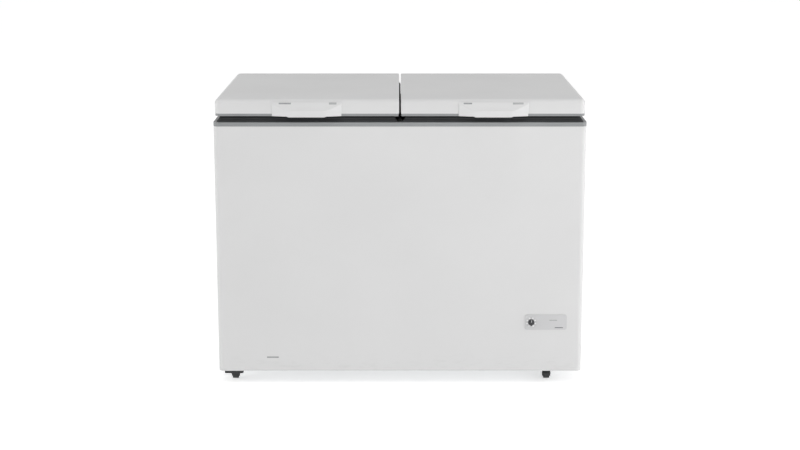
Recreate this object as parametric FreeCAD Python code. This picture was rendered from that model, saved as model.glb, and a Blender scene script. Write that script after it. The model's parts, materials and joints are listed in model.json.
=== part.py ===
"""Two-lid chest freezer on casters, in millimetres.

+Z is up, the front faces -Y and +X is the right-hand side seen from the front.
The origin lies on the floor, in the middle of the freezer's outer box.
"""
import FreeCAD
import Part
import math
import os
from dataclasses import dataclass

Vector = FreeCAD.Vector

# Cabinet
CABINET_WIDTH = 1200.0
CABINET_DEPTH = 730.0
CASING_HEIGHT = 816.0
FLOOR_CLEARANCE = 44.0
SHEET = 1.0
CASING_CORNER_R = 18.0
CASING_TOP_FLANGE = 12.0
CASING_FOOT_FLANGE = 15.0
BASE_RECESS = 14.0

# Insulated tub
WALL_FOAM = 63.0
FLOOR_FOAM = 60.0
LINER_SHEET = 1.0
LINER_FLANGE = 10.0
LINER_CORNER_R = 12.0
LINER_FLOOR_R = 8.0

# Compressor bay at the right-hand end
BAY_SIDE_GAP = 12.0
BAY_TUBE_ROOM = 58.0
BAY_HEADROOM = 51.0
TRAY_SHEET = 2.0
TRAY_SLOTS = 6
TRAY_SLOT_LENGTH = 90.0
TRAY_SLOT_WIDTH = 10.0
TRAY_SLOT_R = 2.5
TRAY_SLOT_PITCH = 32.0
TRAY_SLOT_FROM_FRONT = 130.0

# Top frame and crossbar
FRAME_HEIGHT = 13.0
FRAME_WALL = 2.5
FRAME_TOP = 3.0
COLLAR_DROP = 15.0
CROSSBAR_LAP = 2.0
CROSSBAR_WALL = 2.5

# Lids
LID_GAP = 6.0
LID_SIDE_INSET = 5.0
LID_FRONT_INSET = 2.0
LID_BACK_INSET = 2.0
LID_SKIRT = 48.0
LID_CORNER_R = 20.0
LID_EDGE_R = 16.0
LID_GAP_EDGE_R = 4.0
LID_HEM = 10.0
LID_FRAME_HEIGHT = 8.0
LID_FRAME_INSET = 1.5
LID_FRAME_WIDTH = 58.0
LID_FRAME_UPSTAND = 14.0
LID_LINER_SHEET = 2.0
LID_LINER_LAP = 12.0
LID_LINER_RIM = 60.0
LID_LINER_RISE = 10.0

# Lid gasket
GASKET_HEIGHT = 20.0
GASKET_SEAT_GAP = 0.3
GASKET_FOOT_INSET = 5.0
GASKET_NECK_INSET = 20.0
GASKET_INNER_INSET = 42.0
GASKET_SKIN = 4.0
GASKET_DART_INSET = 29.0
GASKET_DART_WIDTH = 6.0
GASKET_DART_HEIGHT = 6.0

# Lid handle
HANDLE_WIDTH = 223.0
HANDLE_REACH = 16.0
HANDLE_SEAT_ANGLE = 25.0
HANDLE_LIP_HEIGHT = 21.0
HANDLE_DROP_MIDDLE = 10.0
HANDLE_DROP_ENDS = 7.5
HANDLE_MIDDLE_WIDTH = 111.0
HANDLE_BOW_RUN = 10.0
HANDLE_WALL = 3.0
HANDLE_CHEEK = 22.0
HANDLE_END_REACH = 5.0
HANDLE_END_RUN = 26.0
HANDLE_END_R = 13.0
HANDLE_NOSE_R = 2.5
HANDLE_SCOOP_SAG = 1.0
HANDLE_SCOOP_WIDTH = 157.0

# Lid hinges, two to a lid
HINGE_SPREAD = 190.0
PIN_R = 5.0
PIN_HEAD_RIM = 2.0
PIN_HEAD = 2.0
PIN_BEHIND = 18.0
PIN_ABOVE_RIM = 10.0
HINGE_PLATE = 3.0
HINGE_BASE_DROP = 90.0
EAR_WALL = 6.0
EAR_FOOT_DROP = 50.0
RUNNING_GAP = 0.05
SIDE_GAP = 0.5
KNUCKLE_WALL = 4.0
KNUCKLE_LENGTH = 20.0
ARM_HALF_WIDTH = 25.0
ARM_PLATE_HEIGHT = 28.0
ARM_PLATE_LIFT = 3.0
ARM_WEB_HEIGHT = 12.0

# Balance spring on each hinge pin
SPRING_TURNS = 6
SPRING_PITCH = 4.2
SPRING_WIRE_R = 1.75
SPRING_PIN_GAP = 1.25
SPRING_LEG_END = 7.0
SPRING_EYE_GAP = 0.3
SPRING_EYE_WALL = 3.5
SPRING_EYE_THICK = 3.0
SPRING_EYE_AT = 26.0

# Pan-head screws
SCREW_R = 2.5
SCREW_HEAD_R = 4.5
SCREW_HEAD = 3.0
SCREW_EDGE = 9.0

# Thermostat and its panel
BEZEL_WIDTH = 137.0
BEZEL_HEIGHT = 50.0
BEZEL_THICK = 3.0
BEZEL_CORNER_R = 6.0
BEZEL_FROM_RIGHT = 120.5
BEZEL_ABOVE_FLOOR = 211.0
DIAL_R = 17.0
DIAL_DEPTH = 1.0
DIAL_FROM_BEZEL_LEFT = 20.5
KNOB_R = 10.5
KNOB_SKIRT = 4.0
KNOB_GRIP_WIDTH = 6.0
KNOB_HEIGHT = 11.0
KNOB_GAP = 0.4
SHAFT_R = 3.0
SHAFT_IN_KNOB = 8.0
SHAFT_IN_BODY = 12.0
SHAFT_HOLE_GAP = 1.0
THERMOSTAT_WIDTH = 45.0
THERMOSTAT_HEIGHT = 36.0
THERMOSTAT_DEPTH = 30.0

# Compressor
COMPRESSOR_R = 78.0
COMPRESSOR_HEIGHT = 165.0
COMPRESSOR_SEAM_RIM = 4.0
COMPRESSOR_SEAM = 6.0
COMPRESSOR_DOME_R = 45.0
COMPRESSOR_FROM_BACK = 260.0
FOOT_PLATE_OVERHANG = 22.0
FOOT_PLATE_DEPTH = 150.0
FOOT_PLATE = 3.0
FOOT_PLATE_R = 18.0
GROMMET_R = 12.0
GROMMET_NECK_R = 6.0
GROMMET_CAP_R = 9.0
GROMMET_CAP = 4.0
GROMMET_HEIGHT = 16.0
GROMMET_EDGE = 18.0
TERMINAL_WIDTH = 60.0
TERMINAL_HEIGHT = 60.0
TERMINAL_DEPTH = 34.0
TERMINAL_LIFT = 55.0

# Refrigerant tubes
SUCTION_R = 4.0
THIN_TUBE_R = 3.0
TUBE_BORE_GAP = 0.3
TUBE_OFF_SHEET = 1.3
TUBE_INTO_BAY = 10.0
TUBE_BEND = 18.0
EVAPORATOR_TURNS = 5
CONDENSER_TURNS = 4
COIL_ABOVE_STEP = 45.0
COIL_BELOW_TOP = 60.0
COIL_RETURN_STEP = 12.0
CONDENSER_RETURN_STEP = 10.0
COIL_SETTLE = 110.0
COIL_SHIFT_RUN = 60.0
CONDENSER_LIFT = 20.0
SUCTION_PORT_LIFT = 95.0
DISCHARGE_PORT_LIFT = 45.0
DISCHARGE_SIDESTEP = 40.0
DRIER_SIDESTEP = 60.0
CAPILLARY_SIDESTEP = 110.0
DRIER_R = 10.0
DRIER_LENGTH = 80.0
DRIER_BELOW_CEILING = 55.0
DRIER_CONE = 12.0
DRIER_TAIL = 28.0

# Rear cover of the compressor bay
COVER_MARGIN = 22.0
COVER_LAP = 14.0
COVER_SHEET = 2.0
COVER_SLOTS = 8
COVER_SLOT_HEIGHT = 8.0
COVER_SLOT_R = 2.0
COVER_SLOT_SIDE = 30.0
COVER_SLOTS_LIFT = 50.0
COVER_SLOTS_MARGIN = 8.0
GLAND_R = 7.0
GLAND_BORE_R = 4.0
GLAND_FLANGE_R = 11.0
GLAND_FLANGE = 4.0
GLAND_EDGE = 26.0

# Drain
DRAIN_R = 10.0
DRAIN_BORE_R = 7.0
DRAIN_FROM_LEFT = 160.0
DRAIN_FROM_FRONT = 150.0
DRAIN_BELOW_BASE = 8.0
PLUG_GAP = 0.1
PLUG_STEM = 25.0
PLUG_CAP_R = 14.0
PLUG_CAP = 5.0
PLUG_SEAT_GAP = 0.3

# Casters: swivels at the left end, fixed ones at the right end
WHEEL_R = 15.0
WHEEL_WIDTH = 20.0
WHEEL_EDGE_R = 2.0
WHEEL_DISH = 2.0
WHEEL_DISH_INNER_R = 6.0
WHEEL_DISH_OUTER_R = 11.0
WHEEL_SIDE_GAP = 0.6
AXLE_R = 3.0
AXLE_HEAD_R = 4.5
AXLE_HEAD = 1.5
FORK_ARM = 2.5
FORK_ARM_HALF = 8.0
FORK_BRIDGE = 2.7
FORK_BRIDGE_R = 18.0
FORK_TOP_GAP = 0.3
WHEEL_TOP_GAP = 1.0
SWIVEL_TRAIL = 20.0
SWIVEL_HOUSING_R = 28.0
SWIVEL_SHIELD_WIDTH = 62.0
SWIVEL_SHIELD_EDGE = 3.0
SWIVEL_SHIELD_R = 6.0
SWIVEL_SHIELD_EDGE_R = 1.5
SWIVEL_SHIELD_FROM_FRONT = 4.0
SWIVEL_SHIELD_GAP = 0.4
SWIVEL_STEM_R = 5.0
SWIVEL_STEM_COVER = 6.0
CASTER_PLATE = 3.0
CASTER_PLATE_SIDE = 66.0
CASTER_PLATE_R = 6.0
SWIVEL_SIDE_GAP = 6.0
SWIVEL_FRONT_GAP = 1.0
SWIVEL_FROM_BACK = 75.0
FIXED_FROM_RIGHT = 110.0
FIXED_FROM_ENDS = 65.0

# Overshoot for clean cuts, the least corner radius kept by an inset outline, and points taken as one
CUT = 2.0
LEAST_CORNER_R = 1.0
SAME_POINT = 1e-4

# Sizes that follow from the ones above
PIN_HEAD_R = PIN_R + PIN_HEAD_RIM
EAR_R = PIN_R + EAR_WALL
KNUCKLE_R = PIN_R + KNUCKLE_WALL
SPRING_R = PIN_R + SPRING_PIN_GAP + SPRING_WIRE_R
SPRING_LENGTH = SPRING_TURNS * SPRING_PITCH + 2 * SPRING_WIRE_R
SPRING_EYE_HALF = SPRING_WIRE_R + SPRING_EYE_GAP + SPRING_EYE_WALL
SPRING_EYE_REACH = PIN_BEHIND - SPRING_R + SPRING_EYE_HALF
SPRING_LEG = SPRING_EYE_AT + SPRING_EYE_THICK + SPRING_LEG_END
HINGE_HALF_WIDTH = HINGE_PLATE + (3 * SIDE_GAP + KNUCKLE_LENGTH + SPRING_LENGTH) / 2
CROSSBAR_WIDTH = LID_GAP + 2 * (GASKET_INNER_INSET + CROSSBAR_LAP)
COMPRESSOR_SEAM_R = COMPRESSOR_R + COMPRESSOR_SEAM_RIM
FOOT_PLATE_WIDTH = 2 * (COMPRESSOR_R + FOOT_PLATE_OVERHANG)
BAY_WIDTH = BAY_SIDE_GAP + FOOT_PLATE_WIDTH + BAY_TUBE_ROOM
BAY_HEIGHT = GROMMET_HEIGHT + FOOT_PLATE + COMPRESSOR_HEIGHT + BAY_HEADROOM
HANDLE_AHEAD = HANDLE_REACH - LID_FRONT_INSET
FOOT_FLANGE_DEPTH = SHEET + CASING_FOOT_FLANGE
SWIVEL_FROM_LEFT = FOOT_FLANGE_DEPTH + SWIVEL_SIDE_GAP + SWIVEL_HOUSING_R
SWIVEL_FROM_FRONT = FOOT_FLANGE_DEPTH + SWIVEL_FRONT_GAP + SWIVEL_HOUSING_R
SWIVEL_SHIELD_AHEAD = SWIVEL_FROM_FRONT - SWIVEL_SHIELD_FROM_FRONT

# Levels above the floor
Z_CASING = FLOOR_CLEARANCE
Z_CASING_TOP = Z_CASING + CASING_HEIGHT
Z_BASE = Z_CASING + BASE_RECESS
Z_RIM = Z_CASING_TOP + FRAME_HEIGHT
Z_LID = Z_RIM + GASKET_HEIGHT
Z_SKIRT = Z_LID + LID_FRAME_HEIGHT
Z_TOP = Z_SKIRT + LID_SKIRT
Z_TRAY = Z_BASE + TRAY_SHEET
Z_BAY_CEILING = Z_TRAY + BAY_HEIGHT
Z_TUB_FLOOR = Z_BASE + SHEET + FLOOR_FOAM + LINER_SHEET
Z_STEP_FLOOR = Z_BAY_CEILING + SHEET + FLOOR_FOAM + LINER_SHEET
Z_PIN = Z_RIM + PIN_ABOVE_RIM
Z_AXLE = WHEEL_R

# Places in plan
REAR_REACH = PIN_BEHIND + EAR_R
FRONT = HANDLE_AHEAD - (HANDLE_AHEAD + CABINET_DEPTH + REAR_REACH) / 2
BACK = FRONT + CABINET_DEPTH
RIGHT = CABINET_WIDTH / 2
LEFT = -RIGHT
BAY_LEFT = RIGHT - SHEET - BAY_WIDTH
STEP_X = BAY_LEFT - SHEET - FLOOR_FOAM - LINER_SHEET
Y_PIN = BACK + PIN_BEHIND
COMPRESSOR_X = BAY_LEFT + BAY_SIDE_GAP + FOOT_PLATE_WIDTH / 2
COMPRESSOR_Y = BACK - COMPRESSOR_FROM_BACK
Z_FOOT_PLATE = Z_TRAY + GROMMET_HEIGHT
Z_SHELL = Z_FOOT_PLATE + FOOT_PLATE
BEZEL_X = RIGHT - BEZEL_FROM_RIGHT
BEZEL_Z = BEZEL_ABOVE_FLOOR
DIAL_X = BEZEL_X - BEZEL_WIDTH / 2 + DIAL_FROM_BEZEL_LEFT
SIDES = {"left": -1, "right": 1}


def rounded_edges(points, place):
    """Closed outline of lines and corner arcs.

    points holds (u, v, corner radius) and place maps (u, v) into space.
    """
    starts, arcs = [], []
    count = len(points)
    for i, (u, v, r) in enumerate(points):
        here = Vector(u, v, 0)
        back = Vector(*points[i - 1][:2], 0) - here
        ahead = Vector(*points[(i + 1) % count][:2], 0) - here
        back.normalize()
        ahead.normalize()
        half = back.getAngle(ahead) / 2
        reach = r / math.tan(half)
        bisector = back + ahead
        if r > 0:
            bisector.normalize()
        middle = here + bisector * (r / math.sin(half) - r)
        starts.append((here + back * reach, here + ahead * reach))
        arcs.append(middle if r > 0 else None)
    edges = []
    for i in range(count):
        entry, leave = starts[i]
        if arcs[i] is not None:
            bend = [place(p.x, p.y) for p in (entry, arcs[i], leave)]
            edges.append(Part.Arc(*bend).toShape())
        nearest = starts[(i + 1) % count][0]
        if leave.distanceToPoint(nearest) > SAME_POINT:
            edges.append(Part.LineSegment(place(leave.x, leave.y), place(nearest.x, nearest.y)).toShape())
    return edges


def prism(points, place, sweep):
    """Solid swept straight from a rounded outline."""
    solid = Part.Face(Part.Wire(rounded_edges(points, place))).extrude(sweep)
    if solid.Volume < 0:
        solid.reverse()
    return solid


def side_prism(points, x0, x1):
    """Solid with an outline of (y, z, radius) points, swept along X."""
    return prism(points, lambda u, v: Vector(x0, u, v), Vector(x1 - x0, 0, 0))


def front_prism(points, y0, y1):
    """Solid with an outline of (x, z, radius) points, swept along Y."""
    return prism(points, lambda u, v: Vector(u, y0, v), Vector(0, y1 - y0, 0))


def block(x0, x1, y0, y1, z0, z1):
    """Box between two corners."""
    return Part.makeBox(x1 - x0, y1 - y0, z1 - z0, Vector(x0, y0, z0))


def rod_x(r, x0, x1, y, z):
    """Round bar along X."""
    return Part.makeCylinder(r, x1 - x0, Vector(x0, y, z), Vector(1, 0, 0))


def rod_y(r, x, y0, y1, z):
    """Round bar along Y."""
    return Part.makeCylinder(r, y1 - y0, Vector(x, y0, z), Vector(0, 1, 0))


def rod_z(r, x, y, z0, z1):
    """Round bar along Z."""
    return Part.makeCylinder(r, z1 - z0, Vector(x, y, z0), Vector(0, 0, 1))


def joined(shapes):
    """One solid from several that meet."""
    return shapes[0].multiFuse(shapes[1:]).removeSplitter() if len(shapes) > 1 else shapes[0]


@dataclass(frozen=True)
class Plan:
    """Rectangle seen from above, with rounded front and back corners."""

    x0: float
    x1: float
    y0: float
    y1: float
    front_r: float
    back_r: float

    def inset(self, d):
        """The same outline drawn in by d, or out where d is negative."""
        def corner(r):
            return max(r - d, LEAST_CORNER_R) if r > 0 else 0.0
        return Plan(
            self.x0 + d, self.x1 - d, self.y0 + d, self.y1 - d, corner(self.front_r), corner(self.back_r))

    def corners(self):
        """Outline points with their radii."""
        return [
            (self.x0, self.y0, self.front_r),
            (self.x1, self.y0, self.front_r),
            (self.x1, self.y1, self.back_r),
            (self.x0, self.y1, self.back_r),
        ]

    def slab(self, z0, z1):
        """Upright solid on the outline."""
        return prism(self.corners(), lambda u, v: Vector(u, v, z0), Vector(0, 0, z1 - z0))

    def ring(self, width, z0, z1):
        """Upright frame on the outline, with its wall inside."""
        return self.slab(z0, z1).cut(self.inset(width).slab(z0 - CUT, z1 + CUT))

    def wire(self, z):
        """The outline at one level."""
        return Part.Wire(rounded_edges(self.corners(), lambda u, v: Vector(u, v, z)))


@dataclass(frozen=True)
class LidPlan(Plan):
    """Outline of a lid, with tighter corners beside the other lid."""

    gap_r: float
    side: int

    def inset(self, d):
        """The same outline drawn in by d."""
        plain = super().inset(d)
        gap_r = max(self.gap_r - d, LEAST_CORNER_R)
        return LidPlan(plain.x0, plain.x1, plain.y0, plain.y1, plain.front_r, plain.back_r, gap_r, self.side)

    def gap_x(self):
        """X of the edge beside the other lid."""
        return self.x0 if self.side > 0 else self.x1

    def corners(self):
        """Outline points with their radii."""
        return [(x, y, self.gap_r if x == self.gap_x() else r) for x, y, r in super().corners()]


def level_edges(shape, z):
    """Edges of a shape that lie wholly at one level."""
    found = []
    for edge in shape.Edges:
        box = edge.BoundBox
        if abs(box.ZMin - z) < SAME_POINT and abs(box.ZMax - z) < SAME_POINT:
            found.append(edge)
    return found


def soft_slab(plan, z0, z1, top_r=0.0, floor_r=0.0):
    """Slab with its top or bottom rim rounded over."""
    solid = plan.slab(z0, z1)
    if top_r > 0:
        solid = solid.makeFillet(top_r, level_edges(solid, z1))
    if floor_r > 0:
        solid = solid.makeFillet(floor_r, level_edges(solid, z0))
    return solid


def bent_path(points, bend):
    """Wire of straight runs joined by tangent arcs of one radius."""
    edges = []
    here = Vector(*points[0])
    for i in range(1, len(points) - 1):
        corner = Vector(*points[i])
        back = Vector(*points[i - 1]) - corner
        ahead = Vector(*points[i + 1]) - corner
        back.normalize()
        ahead.normalize()
        half = back.getAngle(ahead) / 2
        reach = bend / math.tan(half)
        bisector = back + ahead
        bisector.normalize()
        middle = corner + bisector * (bend / math.sin(half) - bend)
        entry = corner + back * reach
        leave = corner + ahead * reach
        edges.append(Part.LineSegment(here, entry).toShape())
        edges.append(Part.Arc(entry, middle, leave).toShape())
        here = leave
    edges.append(Part.LineSegment(here, Vector(*points[-1])).toShape())
    return Part.Wire(edges)


def swept(path, r):
    """Round tube, filled, along a wire."""
    first = path.OrderedEdges[0]
    start = first.valueAt(first.FirstParameter)
    ahead = first.tangentAt(first.FirstParameter)
    section = Part.Wire(Part.makeCircle(r, start, ahead))
    return path.makePipeShell([section], True, False)


def tube(points, bend, r):
    """Round tube, filled, through hand-picked corner points."""
    return swept(bent_path(points, bend), r)


def screw(x, y, z, depth):
    """Pan-head screw from behind: head outside y, shank going in by depth."""
    return joined([rod_y(SCREW_HEAD_R, x, y, y + SCREW_HEAD, z), rod_y(SCREW_R, x, y - depth, y, z)])


# Outlines that several pieces share
CASING_PLAN = Plan(LEFT, RIGHT, FRONT, BACK, CASING_CORNER_R, 0.0)
INSIDE_PLAN = Plan(
    LEFT + SHEET, RIGHT - SHEET, FRONT + SHEET, BACK - SHEET, CASING_CORNER_R - SHEET, 0.0)
TUB_PLAN = Plan(
    LEFT + SHEET + WALL_FOAM + LINER_SHEET, RIGHT - SHEET - WALL_FOAM - LINER_SHEET,
    FRONT + SHEET + WALL_FOAM + LINER_SHEET, BACK - SHEET - WALL_FOAM - LINER_SHEET,
    LINER_CORNER_R, LINER_CORNER_R)
MOUTH_PLAN = TUB_PLAN.inset(FRAME_WALL)


def tub_space(grow, z_top):
    """Room inside the tub with its compressor step, grown outwards by a sheet."""
    plan = TUB_PLAN.inset(-grow)
    upper = soft_slab(plan, Z_STEP_FLOOR - grow, z_top, floor_r=LINER_FLOOR_R + grow)
    low_right = STEP_X + grow
    deep = prism(
        [
            (plan.x0, plan.y0, plan.front_r),
            (low_right, plan.y0, 0.0),
            (low_right, plan.y1, 0.0),
            (plan.x0, plan.y1, plan.back_r),
        ],
        lambda u, v: Vector(u, v, Z_TUB_FLOOR - grow),
        Vector(0, 0, z_top - Z_TUB_FLOOR + grow))
    deep = deep.makeFillet(LINER_FLOOR_R + grow, level_edges(deep, Z_TUB_FLOOR - grow))
    return upper.fuse(deep).removeSplitter()


def hinge_places():
    """X of each hinge, by lid."""
    places = {}
    for name, side in SIDES.items():
        middle = side * (LID_GAP / 2 + RIGHT - LID_SIDE_INSET) / 2
        places[name] = [middle - HINGE_SPREAD, middle + HINGE_SPREAD]
    return places


def base_screw_places(x):
    """X and Z of the screws that hold one hinge base."""
    low = Z_RIM - HINGE_BASE_DROP + SCREW_EDGE
    high = Z_PIN - SPRING_EYE_AT - SPRING_EYE_THICK - SCREW_EDGE
    half = HINGE_HALF_WIDTH - HINGE_PLATE - SCREW_EDGE
    return [(x + sx * half, z) for sx in (-1, 1) for z in (low, high)]


def arm_screw_places(x):
    """X and Z of the screws that hold one hinge arm."""
    z = Z_SKIRT + ARM_PLATE_LIFT + ARM_PLATE_HEIGHT - SCREW_EDGE
    half = ARM_HALF_WIDTH - SCREW_EDGE
    return [(x - half, z), (x + half, z)]


def cover_box():
    """Left, right, bottom and top of the opening behind the compressor bay."""
    return (
        BAY_LEFT + COVER_MARGIN, RIGHT - SHEET - COVER_MARGIN,
        Z_TRAY + COVER_MARGIN, Z_BAY_CEILING - COVER_MARGIN)


def cover_screw_places():
    """X and Z of the screws at the corners of the rear cover."""
    x0, x1, z0, z1 = cover_box()
    half_lap = COVER_LAP / 2
    return [(x, z) for x in (x0 - half_lap, x1 + half_lap) for z in (z0 - half_lap, z1 + half_lap)]


def gland_place():
    """X and Z of the cord gland."""
    x0, _, z0, _ = cover_box()
    return x0 + GLAND_EDGE, z0 + GLAND_EDGE


def drain_place():
    """X and Y of the drain."""
    return LEFT + DRAIN_FROM_LEFT, FRONT + DRAIN_FROM_FRONT


def evaporator_path():
    """Coil wound round the tub above the step, with both ends down in the bay."""
    off = LINER_SHEET + TUBE_OFF_SHEET + SUCTION_R
    plan = TUB_PLAN.inset(-off)
    riser_y = COMPRESSOR_Y + CAPILLARY_SIDESTEP
    return coil_points(
        plan, EVAPORATOR_TURNS, Z_STEP_FLOOR + COIL_ABOVE_STEP, Z_CASING_TOP - COIL_BELOW_TOP,
        riser_y, plan.x1 + COIL_RETURN_STEP, COMPRESSOR_Y)


def condenser_path():
    """Coil wound inside the casing, with both ends down in the bay."""
    off = TUBE_OFF_SHEET + THIN_TUBE_R
    plan = INSIDE_PLAN.inset(off)
    return coil_points(
        plan, CONDENSER_TURNS, Z_STEP_FLOOR + COIL_ABOVE_STEP + CONDENSER_LIFT,
        Z_CASING_TOP - COIL_BELOW_TOP, COMPRESSOR_Y - DISCHARGE_SIDESTEP,
        plan.x1 - CONDENSER_RETURN_STEP, COMPRESSOR_Y + DRIER_SIDESTEP)


def coil_points(plan, turns, z_low, z_high, riser_y, return_x, return_y):
    """Corner points of a coil that climbs along its right-hand side."""
    z_end = Z_BAY_CEILING - TUBE_INTO_BAY
    rise = (z_high - z_low) / turns
    points = [(plan.x1, riser_y, z_end), (plan.x1, riser_y, z_low)]
    for turn in range(turns):
        z = z_low + turn * rise
        points += [
            (plan.x1, plan.y1, z), (plan.x0, plan.y1, z), (plan.x0, plan.y0, z), (plan.x1, plan.y0, z)]
    settle = plan.y0 + COIL_SETTLE
    points += [
        (plan.x1, settle, z_low + (turns - 1) * rise + rise / 2),
        (return_x, settle + COIL_SHIFT_RUN, z_high),
        (return_x, return_y, z_high),
        (return_x, return_y, z_end),
    ]
    return points


def evaporator(extra=0.0):
    """Evaporator tube."""
    return tube(evaporator_path(), TUBE_BEND, SUCTION_R + extra)


def condenser(extra=0.0):
    """Condenser tube."""
    return tube(condenser_path(), TUBE_BEND, THIN_TUBE_R + extra)


def outer_casing():
    """Front and both sides bent from one sheet, with its flanges."""
    wall = CASING_PLAN.slab(Z_CASING, Z_CASING_TOP)
    room = Plan(
        INSIDE_PLAN.x0, INSIDE_PLAN.x1, INSIDE_PLAN.y0, BACK + CUT, INSIDE_PLAN.front_r, 0.0)
    wall = wall.cut(room.slab(Z_CASING - CUT, Z_CASING_TOP + CUT))
    flanges = []
    for width, z in ((CASING_TOP_FLANGE, Z_CASING_TOP - SHEET), (CASING_FOOT_FLANGE, Z_CASING)):
        clear = Plan(
            INSIDE_PLAN.x0 + width, INSIDE_PLAN.x1 - width, INSIDE_PLAN.y0 + width, BACK,
            max(INSIDE_PLAN.front_r - width, LEAST_CORNER_R), 0.0)
        flanges.append(INSIDE_PLAN.slab(z, z + SHEET).cut(clear.slab(z - CUT, z + SHEET + CUT)))
    casing = joined([wall] + flanges)
    spindle = rod_y(SHAFT_R + SHAFT_HOLE_GAP, DIAL_X, FRONT - CUT, FRONT + SHEET + CUT, BEZEL_Z)
    return casing.cut(spindle)


def rear_panel():
    """Back sheet between the casing's sides, open behind the compressor bay."""
    panel = block(INSIDE_PLAN.x0, INSIDE_PLAN.x1, BACK - SHEET, BACK, Z_CASING, Z_CASING_TOP)
    x0, x1, z0, z1 = cover_box()
    holes = [block(x0, x1, BACK - SHEET - CUT, BACK + CUT, z0, z1)]
    places = cover_screw_places()
    for xs in hinge_places().values():
        for x in xs:
            places = places + base_screw_places(x)
    for x, z in places:
        holes.append(rod_y(SCREW_R, x, BACK - SHEET - CUT, BACK + CUT, z))
    return panel.cut(holes)


def base_panel():
    """Sheet under the floor foam."""
    plan = Plan(INSIDE_PLAN.x0, BAY_LEFT - SHEET, INSIDE_PLAN.y0, INSIDE_PLAN.y1, 0.0, 0.0)
    sheet = plan.slab(Z_BASE, Z_BASE + SHEET).common(INSIDE_PLAN.slab(Z_BASE, Z_BASE + SHEET))
    x, y = drain_place()
    return sheet.cut(rod_z(DRAIN_R, x, y, Z_BASE - CUT, Z_BASE + SHEET + CUT))


def compressor_tray():
    """Slotted floor of the compressor bay."""
    area = Plan(BAY_LEFT - SHEET, INSIDE_PLAN.x1, INSIDE_PLAN.y0, INSIDE_PLAN.y1, 0.0, 0.0)
    tray = area.slab(Z_BASE, Z_TRAY).common(INSIDE_PLAN.slab(Z_BASE, Z_TRAY))
    middle = (BAY_LEFT + INSIDE_PLAN.x1) / 2
    slots = []
    for i in range(TRAY_SLOTS):
        y = FRONT + TRAY_SLOT_FROM_FRONT + i * TRAY_SLOT_PITCH
        slot = Plan(
            middle - TRAY_SLOT_LENGTH / 2, middle + TRAY_SLOT_LENGTH / 2,
            y - TRAY_SLOT_WIDTH / 2, y + TRAY_SLOT_WIDTH / 2, TRAY_SLOT_R, TRAY_SLOT_R)
        slots.append(slot.slab(Z_BASE - CUT, Z_TRAY + CUT))
    return tray.cut(slots)


def bay_partition():
    """Bent sheet between the foam and the compressor bay."""
    wall = block(BAY_LEFT - SHEET, BAY_LEFT, INSIDE_PLAN.y0, INSIDE_PLAN.y1, Z_TRAY, Z_BAY_CEILING + SHEET)
    ceiling = block(
        BAY_LEFT, INSIDE_PLAN.x1, INSIDE_PLAN.y0, INSIDE_PLAN.y1, Z_BAY_CEILING, Z_BAY_CEILING + SHEET)
    inside = INSIDE_PLAN.slab(Z_TRAY, Z_BAY_CEILING + SHEET)
    sheet = wall.fuse(ceiling).removeSplitter().common(inside)
    return sheet.cut([evaporator(TUBE_BORE_GAP), condenser(TUBE_BORE_GAP)])


def inner_liner():
    """Pressed tub with a step over the compressor bay and a flange round its mouth."""
    flange = TUB_PLAN.inset(-LINER_SHEET - LINER_FLANGE).slab(Z_CASING_TOP - LINER_SHEET, Z_CASING_TOP)
    shell = tub_space(LINER_SHEET, Z_CASING_TOP).fuse(flange)
    shell = shell.cut(tub_space(0.0, Z_CASING_TOP + CUT)).removeSplitter()
    x, y = drain_place()
    return shell.cut(rod_z(DRAIN_R, x, y, Z_TUB_FLOOR - LINER_SHEET - CUT, Z_TUB_FLOOR + CUT))


def cabinet_foam():
    """Foam between casing and tub, with a tongue up into the top frame."""
    fill = INSIDE_PLAN.slab(Z_BASE + SHEET, Z_CASING_TOP - SHEET)
    bay = block(
        BAY_LEFT - SHEET, RIGHT, FRONT - CUT, BACK + CUT, Z_BASE - CUT, Z_BAY_CEILING + SHEET)
    tongue_plan = INSIDE_PLAN.inset(CASING_TOP_FLANGE)
    tongue = tongue_plan.slab(Z_CASING_TOP - SHEET, Z_RIM - FRAME_TOP).cut(
        TUB_PLAN.inset(-LINER_SHEET - LINER_FLANGE).slab(Z_CASING_TOP - SHEET - CUT, Z_RIM + CUT))
    foam = fill.cut(bay).cut(tub_space(LINER_SHEET, Z_CASING_TOP + CUT)).fuse(tongue).removeSplitter()
    x, y = drain_place()
    drain = rod_z(DRAIN_R, x, y, Z_BASE - CUT, Z_TUB_FLOOR + CUT)
    return foam.cut([drain, evaporator(TUBE_BORE_GAP), condenser(TUBE_BORE_GAP)])


def top_frame():
    """Grey frame on the cabinet's rim, with a collar down inside the tub."""
    top = CASING_PLAN.slab(Z_RIM - FRAME_TOP, Z_RIM)
    edge = CASING_PLAN.ring(FRAME_WALL, Z_CASING_TOP, Z_RIM - FRAME_TOP)
    collar = TUB_PLAN.slab(Z_CASING_TOP - COLLAR_DROP, Z_RIM - FRAME_TOP)
    mouth = MOUTH_PLAN.slab(Z_CASING_TOP - COLLAR_DROP - CUT, Z_RIM + CUT)
    return joined([top, edge, collar]).cut(mouth)


def centre_crossbar():
    """Hollow bar across the mouth, where both lids close."""
    half = CROSSBAR_WIDTH / 2
    low = Z_CASING_TOP - COLLAR_DROP
    bar = block(-half, half, MOUTH_PLAN.y0, MOUTH_PLAN.y1, low, Z_RIM)
    inner = half - CROSSBAR_WALL
    hollow = block(
        -inner, inner, MOUTH_PLAN.y0 - CUT, MOUTH_PLAN.y1 + CUT, low + CROSSBAR_WALL, Z_RIM - CROSSBAR_WALL)
    return bar.cut(hollow)


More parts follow.
